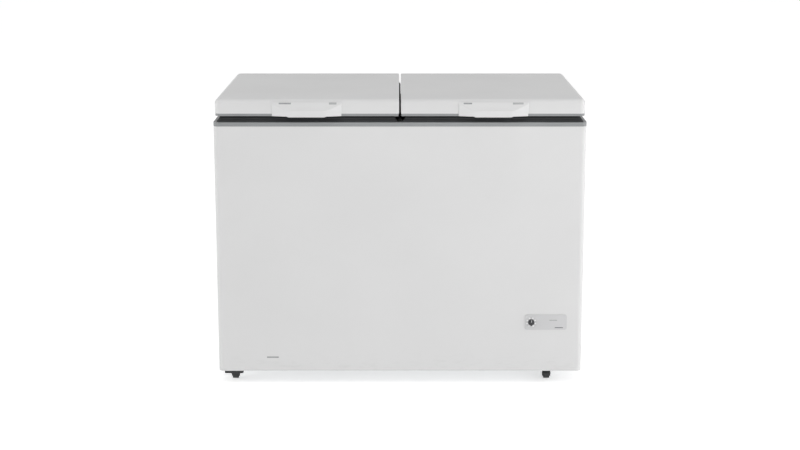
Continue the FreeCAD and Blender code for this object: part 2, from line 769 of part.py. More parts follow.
def lid_plan(side):
    """Outline of one lid."""
    inner = side * LID_GAP / 2
    outer = side * (RIGHT - LID_SIDE_INSET)
    return LidPlan(
        min(inner, outer), max(inner, outer), FRONT + LID_FRONT_INSET, BACK - LID_BACK_INSET,
        LID_CORNER_R, LID_CORNER_R, LID_GAP_EDGE_R, side)


def lid_block(plan, z0, z1, edge_r):
    """Block with its upper edges rounded over, and tighter edges beside the other lid."""
    beyond = plan.gap_x() - plan.side * 2 * LID_CORNER_R
    whole = Plan(
        min(plan.x0, beyond), max(plan.x1, beyond), plan.y0, plan.y1, plan.front_r, plan.back_r)
    kept = block(plan.x0, plan.x1, plan.y0 - CUT, plan.y1 + CUT, z0 - CUT, z1 + CUT)
    solid = soft_slab(whole, z0, z1, top_r=edge_r).common(kept)
    return solid.makeFillet(plan.gap_r, gap_edges(solid, plan.gap_x(), z0))


def gap_edges(shape, x, z0):
    """Edges in the upright plane at x, apart from the lowest one."""
    found = []
    for edge in shape.Edges:
        box = edge.BoundBox
        if abs(box.XMin - x) < SAME_POINT and abs(box.XMax - x) < SAME_POINT and box.ZMax > z0 + SAME_POINT:
            found.append(edge)
    return found


def lid_hem(plan):
    """Hem turned in along the lower edge of a lid's skirt."""
    return plan.inset(SHEET).ring(LID_HEM, Z_SKIRT, Z_SKIRT + SHEET)


def lid_shell(plan, hinge_xs):
    """Pressed lid skin with rounded edges and a turned-in hem."""
    outside = lid_block(plan, Z_SKIRT, Z_TOP, LID_EDGE_R)
    inside = lid_room(plan, Z_SKIRT - CUT)
    shell = outside.cut(inside).fuse(lid_hem(plan)).removeSplitter()
    holes = []
    for x in hinge_xs:
        for sx, z in arm_screw_places(x):
            holes.append(rod_y(SCREW_R, sx, plan.y1 - SHEET - CUT, plan.y1 + CUT, z))
    return shell.cut(holes)


def lid_room(plan, z0):
    """Space inside a lid's skin."""
    return lid_block(plan.inset(SHEET), z0, Z_TOP - SHEET, LID_EDGE_R - SHEET)


def lid_frame(plan):
    """Grey frame under the lid that holds the gasket."""
    base = plan.inset(LID_FRAME_INSET).ring(LID_FRAME_WIDTH, Z_LID, Z_SKIRT)
    upstand = plan.inset(SHEET + LID_HEM).ring(FRAME_WALL, Z_SKIRT, Z_SKIRT + LID_FRAME_UPSTAND)
    groove = plan.inset(GASKET_DART_INSET).ring(GASKET_DART_WIDTH, Z_LID - CUT, Z_LID + GASKET_DART_HEIGHT)
    return joined([base, upstand]).cut(groove)


def lid_liner_plan(plan):
    """Outline of the panel on the underside of a lid."""
    return plan.inset(LID_FRAME_INSET + LID_FRAME_WIDTH - LID_LINER_LAP)


def lid_dish(plan, shrink, z0, z1):
    """Raised middle of the lid's underside panel."""
    return lid_liner_plan(plan).inset(LID_LINER_LAP + LID_LINER_RIM + shrink).slab(z0, z1)


def lid_liner(plan):
    """Panel on the underside of a lid, with its middle pressed upwards."""
    flat = lid_liner_plan(plan).slab(Z_SKIRT, Z_SKIRT + LID_LINER_SHEET)
    raised = lid_dish(plan, 0.0, Z_SKIRT, Z_SKIRT + LID_LINER_RISE + LID_LINER_SHEET)
    hollow = lid_dish(plan, LID_LINER_SHEET, Z_SKIRT - CUT, Z_SKIRT + LID_LINER_RISE)
    return flat.fuse(raised).removeSplitter().cut(hollow)


def lid_foam(plan):
    """Foam core of a lid."""
    core = lid_room(plan, Z_SKIRT)
    below = lid_dish(plan, 0.0, Z_SKIRT - CUT, Z_SKIRT + LID_LINER_RISE + LID_LINER_SHEET)
    flat = lid_liner_plan(plan).slab(Z_SKIRT - CUT, Z_SKIRT + LID_LINER_SHEET)
    upstand = plan.inset(SHEET + LID_HEM).ring(FRAME_WALL, Z_SKIRT - CUT, Z_SKIRT + LID_FRAME_UPSTAND)
    return core.cut([below, flat, upstand, lid_hem(plan)])


def lid_gasket(plan):
    """Hollow seal that flares outwards to its foot, with a dart held in the lid's frame."""
    low = Z_RIM + GASKET_SEAT_GAP
    flare = Part.makeLoft(
        [plan.inset(GASKET_FOOT_INSET).wire(low), plan.inset(GASKET_NECK_INSET).wire(Z_LID)], True, True)
    seal = flare.cut(plan.inset(GASKET_INNER_INSET).slab(low - CUT, Z_LID + CUT))
    chamber_out = GASKET_NECK_INSET + GASKET_SKIN
    chamber_width = GASKET_INNER_INSET - GASKET_SKIN - chamber_out
    chamber = plan.inset(chamber_out).ring(chamber_width, low + GASKET_SKIN, Z_LID - GASKET_SKIN)
    dart = plan.inset(GASKET_DART_INSET).ring(GASKET_DART_WIDTH, Z_LID, Z_LID + GASKET_DART_HEIGHT)
    return seal.cut(chamber).fuse(dart).removeSplitter()


def handle_seat(plan):
    """Top of a handle's slope, on the rounded front edge of its lid."""
    angle = math.radians(HANDLE_SEAT_ANGLE)
    return Vector(
        0, plan.y0 + LID_EDGE_R * (1 - math.cos(angle)), Z_TOP - LID_EDGE_R * (1 - math.sin(angle)))


def lid_handle(plan):
    """Moulded grip that grows out of the lid's front edge: a slope above a lip that hangs lower."""
    face = plan.y0
    back = face + LID_EDGE_R
    middle = (plan.x0 + plan.x1) / 2
    nose = face - HANDLE_REACH
    seat = handle_seat(plan)
    top = seat.z
    low = Z_SKIRT - HANDLE_DROP_MIDDLE
    lip_top = low + HANDLE_LIP_HEIGHT
    half = HANDLE_WIDTH / 2
    side = [
        (seat.y, seat.z, 0.0),
        (nose, lip_top, HANDLE_NOSE_R),
        (nose, low, HANDLE_NOSE_R),
        (face, low, 0.0),
        (face, Z_TOP - LID_EDGE_R, 0.0),
    ]
    body = side_prism(side, middle - half, middle + half)
    end_face = face - HANDLE_END_REACH
    outline = [
        (middle - half, back, 0.0),
        (middle - half, end_face, HANDLE_NOSE_R),
        (middle - half + HANDLE_END_RUN, nose, HANDLE_END_R),
        (middle + half - HANDLE_END_RUN, nose, HANDLE_END_R),
        (middle + half, end_face, HANDLE_NOSE_R),
        (middle + half, back, 0.0),
    ]
    rise = Vector(0, 0, top - low + 2 * CUT)
    body = body.common(prism(outline, lambda u, v: Vector(u, v, low - CUT), rise))
    bow = HANDLE_DROP_MIDDLE - HANDLE_DROP_ENDS
    flat_half = HANDLE_MIDDLE_WIDTH / 2
    front = [
        (middle - half - CUT, top + CUT, 0.0),
        (middle - half - CUT, low + bow, 0.0),
        (middle - flat_half - HANDLE_BOW_RUN, low + bow, bow),
        (middle - flat_half, low, bow),
        (middle + flat_half, low, bow),
        (middle + flat_half + HANDLE_BOW_RUN, low + bow, bow),
        (middle + half + CUT, low + bow, 0.0),
        (middle + half + CUT, top + CUT, 0.0),
    ]
    body = body.common(front_prism(front, nose - CUT, back))
    edge = rod_x(LID_EDGE_R, middle - half - CUT, middle + half + CUT, back, Z_TOP - LID_EDGE_R)
    return body.cut([edge, handle_pocket(plan), handle_scoop(plan)])


def handle_pocket(plan):
    """Finger room behind the lip of a handle, open downwards."""
    face = plan.y0
    middle = (plan.x0 + plan.x1) / 2
    half = HANDLE_WIDTH / 2 - HANDLE_CHEEK
    low = Z_SKIRT - HANDLE_DROP_MIDDLE - CUT
    lip_top = Z_SKIRT - HANDLE_DROP_MIDDLE + HANDLE_LIP_HEIGHT
    inner = face - HANDLE_REACH + HANDLE_WALL
    room = [
        (face, low, 0.0),
        (inner, low, 0.0),
        (inner, lip_top - HANDLE_WALL, HANDLE_NOSE_R),
        (face, lip_top + HANDLE_WALL, 0.0),
    ]
    return side_prism(room, middle - half, middle + half)


def handle_scoop(plan):
    """Shallow round hollow pressed into the slope of a handle."""
    face = plan.y0
    middle = (plan.x0 + plan.x1) / 2
    top = handle_seat(plan)
    lip = Vector(0, face - HANDLE_REACH, Z_SKIRT - HANDLE_DROP_MIDDLE + HANDLE_LIP_HEIGHT)
    chord = lip - top
    length = chord.Length
    r = (length * length / 4 + HANDLE_SCOOP_SAG ** 2) / (2 * HANDLE_SCOOP_SAG)
    outward = Vector(0, chord.z, -chord.y)
    outward.normalize()
    centre = (top + lip) / 2 + outward * (r - HANDLE_SCOOP_SAG)
    half = HANDLE_SCOOP_WIDTH / 2
    return rod_x(r, middle - half, middle + half, centre.y, centre.z)


def hinge_base(x):
    """Plate on the cabinet's back with two ears for the pin and an eye for the spring."""
    half = HINGE_HALF_WIDTH
    low = Z_RIM - HINGE_BASE_DROP
    plate = block(x - half, x + half, BACK, BACK + HINGE_PLATE, low, Z_CASING_TOP)
    ears = []
    for ear_x in (x - half, x + half - HINGE_PLATE):
        web = [
            (BACK, Z_PIN - EAR_FOOT_DROP, 0.0),
            (BACK, Z_CASING_TOP, 0.0),
            (Y_PIN - EAR_R, Z_PIN, 0.0),
            (Y_PIN + EAR_R, Z_PIN, 0.0),
        ]
        ear = side_prism(web, ear_x, ear_x + HINGE_PLATE)
        ears += [ear, rod_x(EAR_R, ear_x, ear_x + HINGE_PLATE, Y_PIN, Z_PIN)]
    eye_z = Z_PIN - SPRING_EYE_AT
    eye_x = spring_start(x)
    eye = block(
        eye_x - SPRING_EYE_HALF, x + half, BACK, BACK + SPRING_EYE_REACH, eye_z - SPRING_EYE_THICK, eye_z)
    base = joined([plate, eye] + ears)
    eye_r = SPRING_WIRE_R + SPRING_EYE_GAP
    holes = [
        rod_x(PIN_R, x - half - CUT, x + half + CUT, Y_PIN, Z_PIN),
        rod_z(eye_r, eye_x, Y_PIN - SPRING_R, eye_z - SPRING_EYE_THICK - CUT, eye_z + CUT),
    ]
    for sx, z in base_screw_places(x):
        holes.append(rod_y(SCREW_R, sx, BACK - CUT, BACK + HINGE_PLATE + CUT, z))
    return base.cut(holes)


def knuckle_span(x):
    """X range of a hinge arm's knuckle, beside the left ear."""
    start = x - HINGE_HALF_WIDTH + HINGE_PLATE + SIDE_GAP
    return start, start + KNUCKLE_LENGTH


def spring_start(x):
    """X of the spring's fixed leg, beside the right ear."""
    return x + HINGE_HALF_WIDTH - HINGE_PLATE - SIDE_GAP - SPRING_WIRE_R


def hinge_arm(plan, x):
    """Plate on the lid's rear skirt with a knuckle round the pin and an eye for the spring."""
    face = plan.y1
    low = Z_SKIRT + ARM_PLATE_LIFT
    plate = block(
        x - ARM_HALF_WIDTH, x + ARM_HALF_WIDTH, face, face + HINGE_PLATE, low, low + ARM_PLATE_HEIGHT)
    k0, k1 = knuckle_span(x)
    web = [
        (face, low, 0.0),
        (face, low + ARM_WEB_HEIGHT, 0.0),
        (face + HINGE_PLATE, low + ARM_WEB_HEIGHT, 0.0),
        (Y_PIN + KNUCKLE_R / 2, Z_PIN + KNUCKLE_R / 2, 0.0),
        (Y_PIN - KNUCKLE_R / 2, Z_PIN - KNUCKLE_R / 2, 0.0),
    ]
    eye_x = spring_start(x) - SPRING_TURNS * SPRING_PITCH
    eye_z = Z_PIN + SPRING_EYE_AT
    eye = block(
        eye_x - SPRING_EYE_HALF, eye_x + SPRING_EYE_HALF, face, BACK + SPRING_EYE_REACH,
        eye_z, eye_z + SPRING_EYE_THICK)
    arm = joined([plate, side_prism(web, k0, k1), rod_x(KNUCKLE_R, k0, k1, Y_PIN, Z_PIN), eye])
    eye_r = SPRING_WIRE_R + SPRING_EYE_GAP
    holes = [
        rod_x(PIN_R + RUNNING_GAP, k0 - CUT, k1 + CUT, Y_PIN, Z_PIN),
        rod_z(eye_r, eye_x, Y_PIN - SPRING_R, eye_z - CUT, eye_z + SPRING_EYE_THICK + CUT),
    ]
    for sx, z in arm_screw_places(x):
        holes.append(rod_y(SCREW_R, sx, face - CUT, face + HINGE_PLATE + CUT, z))
    return arm.cut(holes)


def hinge_pin(x):
    """Headed pin through both ears and the knuckle."""
    half = HINGE_HALF_WIDTH
    return joined([
        rod_x(PIN_R, x - half, x + half, Y_PIN, Z_PIN),
        rod_x(PIN_HEAD_R, x - half - PIN_HEAD, x - half, Y_PIN, Z_PIN),
        rod_x(PIN_HEAD_R, x + half, x + half + PIN_HEAD, Y_PIN, Z_PIN),
    ])


def biarc(start, end, start_way, end_way):
    """Two tangent arcs from one point and direction to another."""
    gap = end - start
    ways = start_way + end_way
    a = ways.dot(ways) - 4
    b = -2 * gap.dot(ways)
    c = gap.dot(gap)
    reach = (-b - math.sqrt(b * b - 4 * a * c)) / (2 * a)
    first = start + start_way * reach
    second = end - end_way * reach
    meet = (first + second) / 2
    arcs = []
    for p, corner, q in ((start, first, meet), (meet, second, end)):
        weight = (q - p).Length / (2 * reach)
        middle = (p + corner * (2 * weight) + q) / (2 + 2 * weight)
        arcs.append(Part.Arc(p, middle, q).toShape())
    return arcs


def spring_point(x, turn):
    """Point and direction on the spring's helix after so many turns."""
    angle = 2 * math.pi * turn
    start = spring_start(x)
    point = Vector(
        start - SPRING_PITCH * turn, Y_PIN - SPRING_R * math.cos(angle), Z_PIN + SPRING_R * math.sin(angle))
    way = Vector(-SPRING_PITCH / (2 * math.pi), SPRING_R * math.sin(angle), SPRING_R * math.cos(angle))
    way.normalize()
    return point, way


def balance_spring(x):
    """Torsion spring wound on the pin, one leg down in the base's eye and one up in the arm's."""
    up = Vector(0, 0, 1)
    steps = 4 * SPRING_TURNS
    knots = [spring_point(x, i / 4) for i in range(steps + 1)]
    knots[0] = (knots[0][0], up)
    knots[-1] = (knots[-1][0], up)
    edges = [Part.LineSegment(knots[0][0] - up * SPRING_LEG, knots[0][0]).toShape()]
    for (p, way), (q, next_way) in zip(knots, knots[1:]):
        edges += biarc(p, q, way, next_way)
    edges.append(Part.LineSegment(knots[-1][0], knots[-1][0] + up * SPRING_LEG).toShape())
    return swept(Part.Wire(edges), SPRING_WIRE_R)


def spring_self_gap(samples_per_turn=48):
    """Least gap between turns of a spring, measured on points of its helix."""
    points = [spring_point(0.0, i / samples_per_turn)[0] for i in range(SPRING_TURNS * samples_per_turn + 1)]
    apart = samples_per_turn // 2
    least = min(
        p.distanceToPoint(q) for i, p in enumerate(points) for q in points[i + apart:])
    return least - 2 * SPRING_WIRE_R


def control_bezel():
    """Panel on the lower right of the front, with a dished dial."""
    low = BEZEL_Z - BEZEL_HEIGHT / 2
    left = BEZEL_X - BEZEL_WIDTH / 2
    corners = [
        (left, low, BEZEL_CORNER_R),
        (left + BEZEL_WIDTH, low, BEZEL_CORNER_R),
        (left + BEZEL_WIDTH, low + BEZEL_HEIGHT, BEZEL_CORNER_R),
        (left, low + BEZEL_HEIGHT, BEZEL_CORNER_R),
    ]
    plate = front_prism(corners, FRONT - BEZEL_THICK, FRONT)
    dish = rod_y(DIAL_R, DIAL_X, FRONT - BEZEL_THICK - CUT, FRONT - BEZEL_THICK + DIAL_DEPTH, BEZEL_Z)
    hole = rod_y(SHAFT_R + RUNNING_GAP, DIAL_X, FRONT - BEZEL_THICK - CUT, FRONT + CUT, BEZEL_Z)
    return plate.cut([dish, hole])


def knob_base():
    """Y of the knob's back face."""
    return FRONT - BEZEL_THICK + DIAL_DEPTH - KNOB_GAP


def thermostat_knob():
    """Round knob with a grip bar, bored for its shaft."""
    base = knob_base()
    skirt = rod_y(KNOB_R, DIAL_X, base - KNOB_SKIRT, base, BEZEL_Z)
    bar = block(
        DIAL_X - KNOB_GRIP_WIDTH / 2, DIAL_X + KNOB_GRIP_WIDTH / 2, base - KNOB_HEIGHT, base,
        BEZEL_Z - KNOB_R, BEZEL_Z + KNOB_R)
    bar = bar.common(rod_y(KNOB_R, DIAL_X, base - KNOB_HEIGHT, base, BEZEL_Z))
    bore = rod_y(SHAFT_R, DIAL_X, base - SHAFT_IN_KNOB, base + CUT, BEZEL_Z)
    return joined([skirt, bar]).cut(bore)


def thermostat_shaft():
    """Shaft from the knob into the thermostat."""
    return rod_y(SHAFT_R, DIAL_X, knob_base() - SHAFT_IN_KNOB, FRONT + SHEET + SHAFT_IN_BODY, BEZEL_Z)


def thermostat_body():
    """Thermostat behind the front, bored for its shaft."""
    front = FRONT + SHEET
    half = THERMOSTAT_WIDTH / 2
    low = BEZEL_Z - THERMOSTAT_HEIGHT / 2
    box = block(DIAL_X - half, DIAL_X + half, front, front + THERMOSTAT_DEPTH, low, low + THERMOSTAT_HEIGHT)
    bore_end = front + SHAFT_IN_BODY + KNOB_GAP
    return box.cut(rod_y(SHAFT_R + RUNNING_GAP, DIAL_X, front - CUT, bore_end, BEZEL_Z))


def grommet_places():
    """X and Y of the compressor's rubber feet."""
    dx = FOOT_PLATE_WIDTH / 2 - GROMMET_EDGE
    dy = FOOT_PLATE_DEPTH / 2 - GROMMET_EDGE
    return [(COMPRESSOR_X + sx * dx, COMPRESSOR_Y + sy * dy) for sx in (-1, 1) for sy in (-1, 1)]


def compressor():
    """Hermetic compressor: domed shell with a welded seam on its foot plate."""
    x, y = COMPRESSOR_X, COMPRESSOR_Y
    shell = rod_z(COMPRESSOR_R, x, y, Z_SHELL, Z_SHELL + COMPRESSOR_HEIGHT)
    shell = shell.makeFillet(COMPRESSOR_DOME_R, level_edges(shell, Z_SHELL + COMPRESSOR_HEIGHT))
    seam_z = Z_SHELL + COMPRESSOR_HEIGHT / 2
    seam = rod_z(COMPRESSOR_SEAM_R, x, y, seam_z, seam_z + COMPRESSOR_SEAM)
    half_x = FOOT_PLATE_WIDTH / 2
    half_y = FOOT_PLATE_DEPTH / 2
    plan = Plan(x - half_x, x + half_x, y - half_y, y + half_y, FOOT_PLATE_R, FOOT_PLATE_R)
    whole = joined([shell, seam, plan.slab(Z_FOOT_PLATE, Z_SHELL)])
    holes = [
        rod_z(GROMMET_NECK_R, gx, gy, Z_FOOT_PLATE - CUT, Z_SHELL + CUT) for gx, gy in grommet_places()]
    return whole.cut(holes)


def compressor_grommets():
    """Four rubber feet gripped in the foot plate."""
    feet = []
    for x, y in grommet_places():
        feet.append(joined([
            rod_z(GROMMET_R, x, y, Z_TRAY, Z_FOOT_PLATE),
            rod_z(GROMMET_NECK_R, x, y, Z_FOOT_PLATE, Z_SHELL),
            rod_z(GROMMET_CAP_R, x, y, Z_SHELL, Z_SHELL + GROMMET_CAP),
        ]))
    return Part.makeCompound(feet)


def terminal_cover():
    """Cover over the compressor's terminals, on its front."""
    front = COMPRESSOR_Y - COMPRESSOR_R
    z = Z_SHELL + TERMINAL_LIFT
    half = TERMINAL_WIDTH / 2
    x = COMPRESSOR_X
    box = block(x - half, x + half, front - TERMINAL_DEPTH, COMPRESSOR_Y, z, z + TERMINAL_HEIGHT)
    return box.cut(compressor())


def bay_tube(points, r):
    """Tube in the bay, trimmed where it enters the compressor."""
    return tube(points, TUBE_BEND, r).cut(compressor())


def suction_tube():
    """Tube from the evaporator back to the compressor."""
    x, y, z = evaporator_path()[-1]
    port_z = Z_SHELL + SUCTION_PORT_LIFT
    return bay_tube([(COMPRESSOR_X, y, port_z), (x, y, port_z), (x, y, z)], SUCTION_R)


def discharge_tube():
    """Tube from the compressor to the condenser."""
    x, y, z = condenser_path()[0]
    port_z = Z_SHELL + DISCHARGE_PORT_LIFT
    return bay_tube([(COMPRESSOR_X, y, port_z), (x, y, port_z), (x, y, z)], THIN_TUBE_R)


def filter_drier():
    """Filter drier between condenser and evaporator, with its tubes."""
    x, y, z = condenser_path()[-1]
    end_x, end_y, end_z = evaporator_path()[0]
    top = Z_BAY_CEILING - DRIER_BELOW_CEILING
    low = top - DRIER_LENGTH
    up = Vector(0, 0, 1)
    body = rod_z(DRIER_R, x, y, low, top)
    cones = [
        Part.makeCone(DRIER_R, THIN_TUBE_R, DRIER_CONE, Vector(x, y, top), up),
        Part.makeCone(DRIER_R, THIN_TUBE_R, DRIER_CONE, Vector(x, y, low), -up),
    ]
    inlet = rod_z(THIN_TUBE_R, x, y, top, z)
    dip = low - DRIER_CONE - DRIER_TAIL
    outlet = tube(
        [(x, y, low), (x, y, dip), (end_x, end_y, dip), (end_x, end_y, end_z)], TUBE_BEND, THIN_TUBE_R)
    return joined([body, inlet, outlet] + cones)


def rear_bay_cover():
    """Slotted cover over the opening behind the compressor bay."""
    x0, x1, z0, z1 = cover_box()
    lap = COVER_LAP
    plate = block(x0 - lap, x1 + lap, BACK, BACK + COVER_SHEET, z0 - lap, z1 + lap)
    holes = [rod_y(SCREW_R, x, BACK - CUT, BACK + COVER_SHEET + CUT, z) for x, z in cover_screw_places()]
    gx, gz = gland_place()
    holes.append(rod_y(GLAND_R, gx, BACK - CUT, BACK + COVER_SHEET + CUT, gz))
    first = z0 + COVER_SLOTS_LIFT
    last = z1 - COVER_SLOTS_MARGIN - COVER_SLOT_HEIGHT
    r = COVER_SLOT_R
    for i in range(COVER_SLOTS):
        z = first + i * (last - first) / (COVER_SLOTS - 1)
        slot = [
            (x0 + COVER_SLOT_SIDE, z, r),
            (x1 - COVER_SLOT_SIDE, z, r),
            (x1 - COVER_SLOT_SIDE, z + COVER_SLOT_HEIGHT, r),
            (x0 + COVER_SLOT_SIDE, z + COVER_SLOT_HEIGHT, r),
        ]
        holes.append(front_prism(slot, BACK - CUT, BACK + COVER_SHEET + CUT))
    return plate.cut(holes)


def cord_gland():
    """Gland in the rear cover, where a supply cord would enter."""
    x, z = gland_place()
    outer = BACK + COVER_SHEET
    gland = joined([
        rod_y(GLAND_FLANGE_R, x, outer, outer + GLAND_FLANGE, z),
        rod_y(GLAND_R, x, BACK, outer, z),
        rod_y(GLAND_FLANGE_R, x, BACK - GLAND_FLANGE, BACK, z),
    ])
    return gland.cut(rod_y(GLAND_BORE_R, x, BACK - GLAND_FLANGE - CUT, outer + GLAND_FLANGE + CUT, z))


def drain_tube():
    """Drain from the tub's floor to below the base."""
    x, y = drain_place()
    low = Z_BASE - DRAIN_BELOW_BASE
    bore = rod_z(DRAIN_BORE_R, x, y, low - CUT, Z_TUB_FLOOR + CUT)
    return rod_z(DRAIN_R, x, y, low, Z_TUB_FLOOR).cut(bore)


def drain_plug():
    """Push-in plug on the tub's floor."""
    x, y = drain_place()
    seat = Z_TUB_FLOOR + PLUG_SEAT_GAP
    stem = rod_z(DRAIN_BORE_R - PLUG_GAP, x, y, seat - PLUG_STEM, seat)
    return stem.fuse(rod_z(PLUG_CAP_R, x, y, seat, seat + PLUG_CAP)).removeSplitter()


def swivel_places():
    """X and Y of the swivel axes, front then rear."""
    x = LEFT + SWIVEL_FROM_LEFT
    return {"front_left": (x, FRONT + SWIVEL_FROM_FRONT), "rear_left": (x, BACK - SWIVEL_FROM_BACK)}


def fixed_places():
    """X and Y of the fixed casters' wheels, front then rear."""
    x = RIGHT - FIXED_FROM_RIGHT
    return {"front_right": (x, FRONT + FIXED_FROM_ENDS), "rear_right": (x, BACK - FIXED_FROM_ENDS)}


def caster_plate(x, y):
    """Mounting plate of a caster under the base."""
    half = CASTER_PLATE_SIDE / 2
    plan = Plan(x - half, x + half, y - half, y + half, CASTER_PLATE_R, CASTER_PLATE_R)
    return plan.slab(Z_BASE - CASTER_PLATE, Z_BASE)


def fork_levels():
    """Underside and top of a swivel fork's bridge."""
    low = Z_AXLE + WHEEL_R + WHEEL_TOP_GAP
    return low, low + FORK_BRIDGE


def fork_arms(x, y, top):
    """Two cheeks beside a wheel, bored for its axle."""
    inner = WHEEL_WIDTH / 2 + WHEEL_SIDE_GAP
    cheeks = []
    for x0 in (x - inner - FORK_ARM, x + inner):
        cheeks.append(block(x0, x0 + FORK_ARM, y - FORK_ARM_HALF, y + FORK_ARM_HALF, Z_AXLE, top))
        cheeks.append(rod_x(FORK_ARM_HALF, x0, x0 + FORK_ARM, y, Z_AXLE))
    return cheeks


def axle_hole(x, y):
    """Cutter for the axle's holes in a fork."""
    reach = WHEEL_WIDTH / 2 + WHEEL_SIDE_GAP + FORK_ARM + CUT
    return rod_x(AXLE_R, x - reach, x + reach, y, Z_AXLE)


def swivel_housing(x, y):
    """Swivel housing with its mounting plate and a flat shield that reaches under the casing."""
    low = fork_levels()[1] + FORK_TOP_GAP
    half = SWIVEL_SHIELD_WIDTH / 2
    back = y + SWIVEL_HOUSING_R + SWIVEL_SHIELD_EDGE
    plan = Plan(x - half, x + half, y - SWIVEL_SHIELD_AHEAD, back, SWIVEL_SHIELD_R, SWIVEL_SHIELD_R)
    shield = plan.slab(low, Z_CASING - SWIVEL_SHIELD_GAP)
    shield = shield.makeFillet(SWIVEL_SHIELD_EDGE_R, level_edges(shield, low))
    cup = rod_z(SWIVEL_HOUSING_R, x, y, low + SWIVEL_SHIELD_EDGE_R, Z_BASE)
    bore = rod_z(SWIVEL_STEM_R + RUNNING_GAP, x, y, low - CUT, Z_BASE - SWIVEL_STEM_COVER + FORK_TOP_GAP)
    return joined([shield, cup, caster_plate(x, y)]).cut(bore)


def swivel_fork(x, y):
    """Swivelling fork: stem, bridge and two cheeks that trail behind the stem."""
    low, top = fork_levels()
    wheel_y = y + SWIVEL_TRAIL
    half = WHEEL_WIDTH / 2 + WHEEL_SIDE_GAP + FORK_ARM
    bridge = block(x - half, x + half, y, wheel_y + FORK_ARM_HALF, low, top)
    stem = rod_z(SWIVEL_STEM_R, x, y, low, Z_BASE - SWIVEL_STEM_COVER)
    disc = rod_z(FORK_BRIDGE_R, x, y, low, top)
    return joined([bridge, disc, stem] + fork_arms(x, wheel_y, top)).cut(axle_hole(x, wheel_y))


def fixed_fork(x, y):
    """Fixed fork: mounting plate and two cheeks."""
    return joined([caster_plate(x, y)] + fork_arms(x, y, Z_BASE)).cut(axle_hole(x, y))


def caster_axle(x, y):
    """Riveted axle of a caster."""
    reach = WHEEL_WIDTH / 2 + WHEEL_SIDE_GAP + FORK_ARM
    return joined([
        rod_x(AXLE_R, x - reach, x + reach, y, Z_AXLE),
        rod_x(AXLE_HEAD_R, x - reach - AXLE_HEAD, x - reach, y, Z_AXLE),
        rod_x(AXLE_HEAD_R, x + reach, x + reach + AXLE_HEAD, y, Z_AXLE),
    ])


def caster_wheel(x, y):
    """Wheel with dished sides and a bored hub."""
    half = WHEEL_WIDTH / 2
    wheel = rod_x(WHEEL_R, x - half, x + half, y, Z_AXLE)
    rims = [edge for edge in wheel.Edges if edge.BoundBox.XLength < SAME_POINT]
    wheel = wheel.makeFillet(WHEEL_EDGE_R, rims)
    cuts = [rod_x(AXLE_R + RUNNING_GAP, x - half - CUT, x + half + CUT, y, Z_AXLE)]
    for x0, x1 in ((x - half - CUT, x - half + WHEEL_DISH), (x + half - WHEEL_DISH, x + half + CUT)):
        dish = rod_x(WHEEL_DISH_OUTER_R, x0, x1, y, Z_AXLE)
        cuts.append(dish.cut(rod_x(WHEEL_DISH_INNER_R, x0, x1, y, Z_AXLE)))
    return wheel.cut(cuts)


def cabinet_nodes():
    """Pieces of the cabinet and its cold circuit."""
    rear_screws = [screw(x, BACK + COVER_SHEET, z, COVER_SHEET + SHEET) for x, z in cover_screw_places()]
    bases, pins = [], []
    for xs in hinge_places().values():
        for x in xs:
            bases.append(hinge_base(x))
            pins.append(hinge_pin(x))
            rear_screws += [
                screw(sx, BACK + HINGE_PLATE, z, HINGE_PLATE + SHEET) for sx, z in base_screw_places(x)]
    return {
        "outer_casing": outer_casing(),
        "rear_panel": rear_panel(),
        "base_panel": base_panel(),
        "compressor_tray": compressor_tray(),
        "bay_partition": bay_partition(),
        "inner_liner": inner_liner(),
        "cabinet_foam": cabinet_foam(),
        "top_frame": top_frame(),
        "centre_crossbar": centre_crossbar(),
        "control_bezel": control_bezel(),
        "thermostat_body": thermostat_body(),
        "thermostat_shaft": thermostat_shaft(),
        "thermostat_knob": thermostat_knob(),
        "compressor": compressor(),
        "compressor_terminal_cover": terminal_cover(),
        "compressor_grommets": compressor_grommets(),
        "evaporator_coil": evaporator(),
        "condenser_coil": condenser(),
        "suction_tube": suction_tube(),
        "discharge_tube": discharge_tube(),
        "filter_drier": filter_drier(),
        "rear_bay_cover": rear_bay_cover(),
        "cord_gland": cord_gland(),
        "drain_tube": drain_tube(),
        "drain_plug": drain_plug(),
        "hinge_bases": Part.makeCompound(bases),
        "hinge_pins": Part.makeCompound(pins),
        "rear_screws": Part.makeCompound(rear_screws),
    }


def lid_nodes(name):
    """Pieces of one lid and its hinges."""
    plan = lid_plan(SIDES[name])
    xs = hinge_places()[name]
    screws = []
    for x in xs:
        screws += [screw(sx, plan.y1 + HINGE_PLATE, z, HINGE_PLATE + SHEET) for sx, z in arm_screw_places(x)]
    return {
        f"{name}_lid_shell": lid_shell(plan, xs),
        f"{name}_lid_frame": lid_frame(plan),
        f"{name}_lid_liner": lid_liner(plan),
        f"{name}_lid_foam": lid_foam(plan),
        f"{name}_lid_gasket": lid_gasket(plan),
        f"{name}_lid_handle": lid_handle(plan),
        f"{name}_lid_hinge_arms": Part.makeCompound([hinge_arm(plan, x) for x in xs]),
        f"{name}_lid_screws": Part.makeCompound(screws),
        f"{name}_lid_springs": Part.makeCompound([balance_spring(x) for x in xs]),
    }


def caster_nodes():
    """Pieces of the four casters."""
    nodes = {}
    for name, (x, y) in swivel_places().items():
        nodes[f"{name}_caster_housing"] = swivel_housing(x, y)
        nodes[f"{name}_caster_fork"] = swivel_fork(x, y)
        nodes[f"{name}_caster_axle"] = caster_axle(x, y + SWIVEL_TRAIL)
        nodes[f"{name}_caster_wheel"] = caster_wheel(x, y + SWIVEL_TRAIL)
    for name, (x, y) in fixed_places().items():
        nodes[f"{name}_caster_fork"] = fixed_fork(x, y)
        nodes[f"{name}_caster_axle"] = caster_axle(x, y)
        nodes[f"{name}_caster_wheel"] = caster_wheel(x, y)
    return nodes


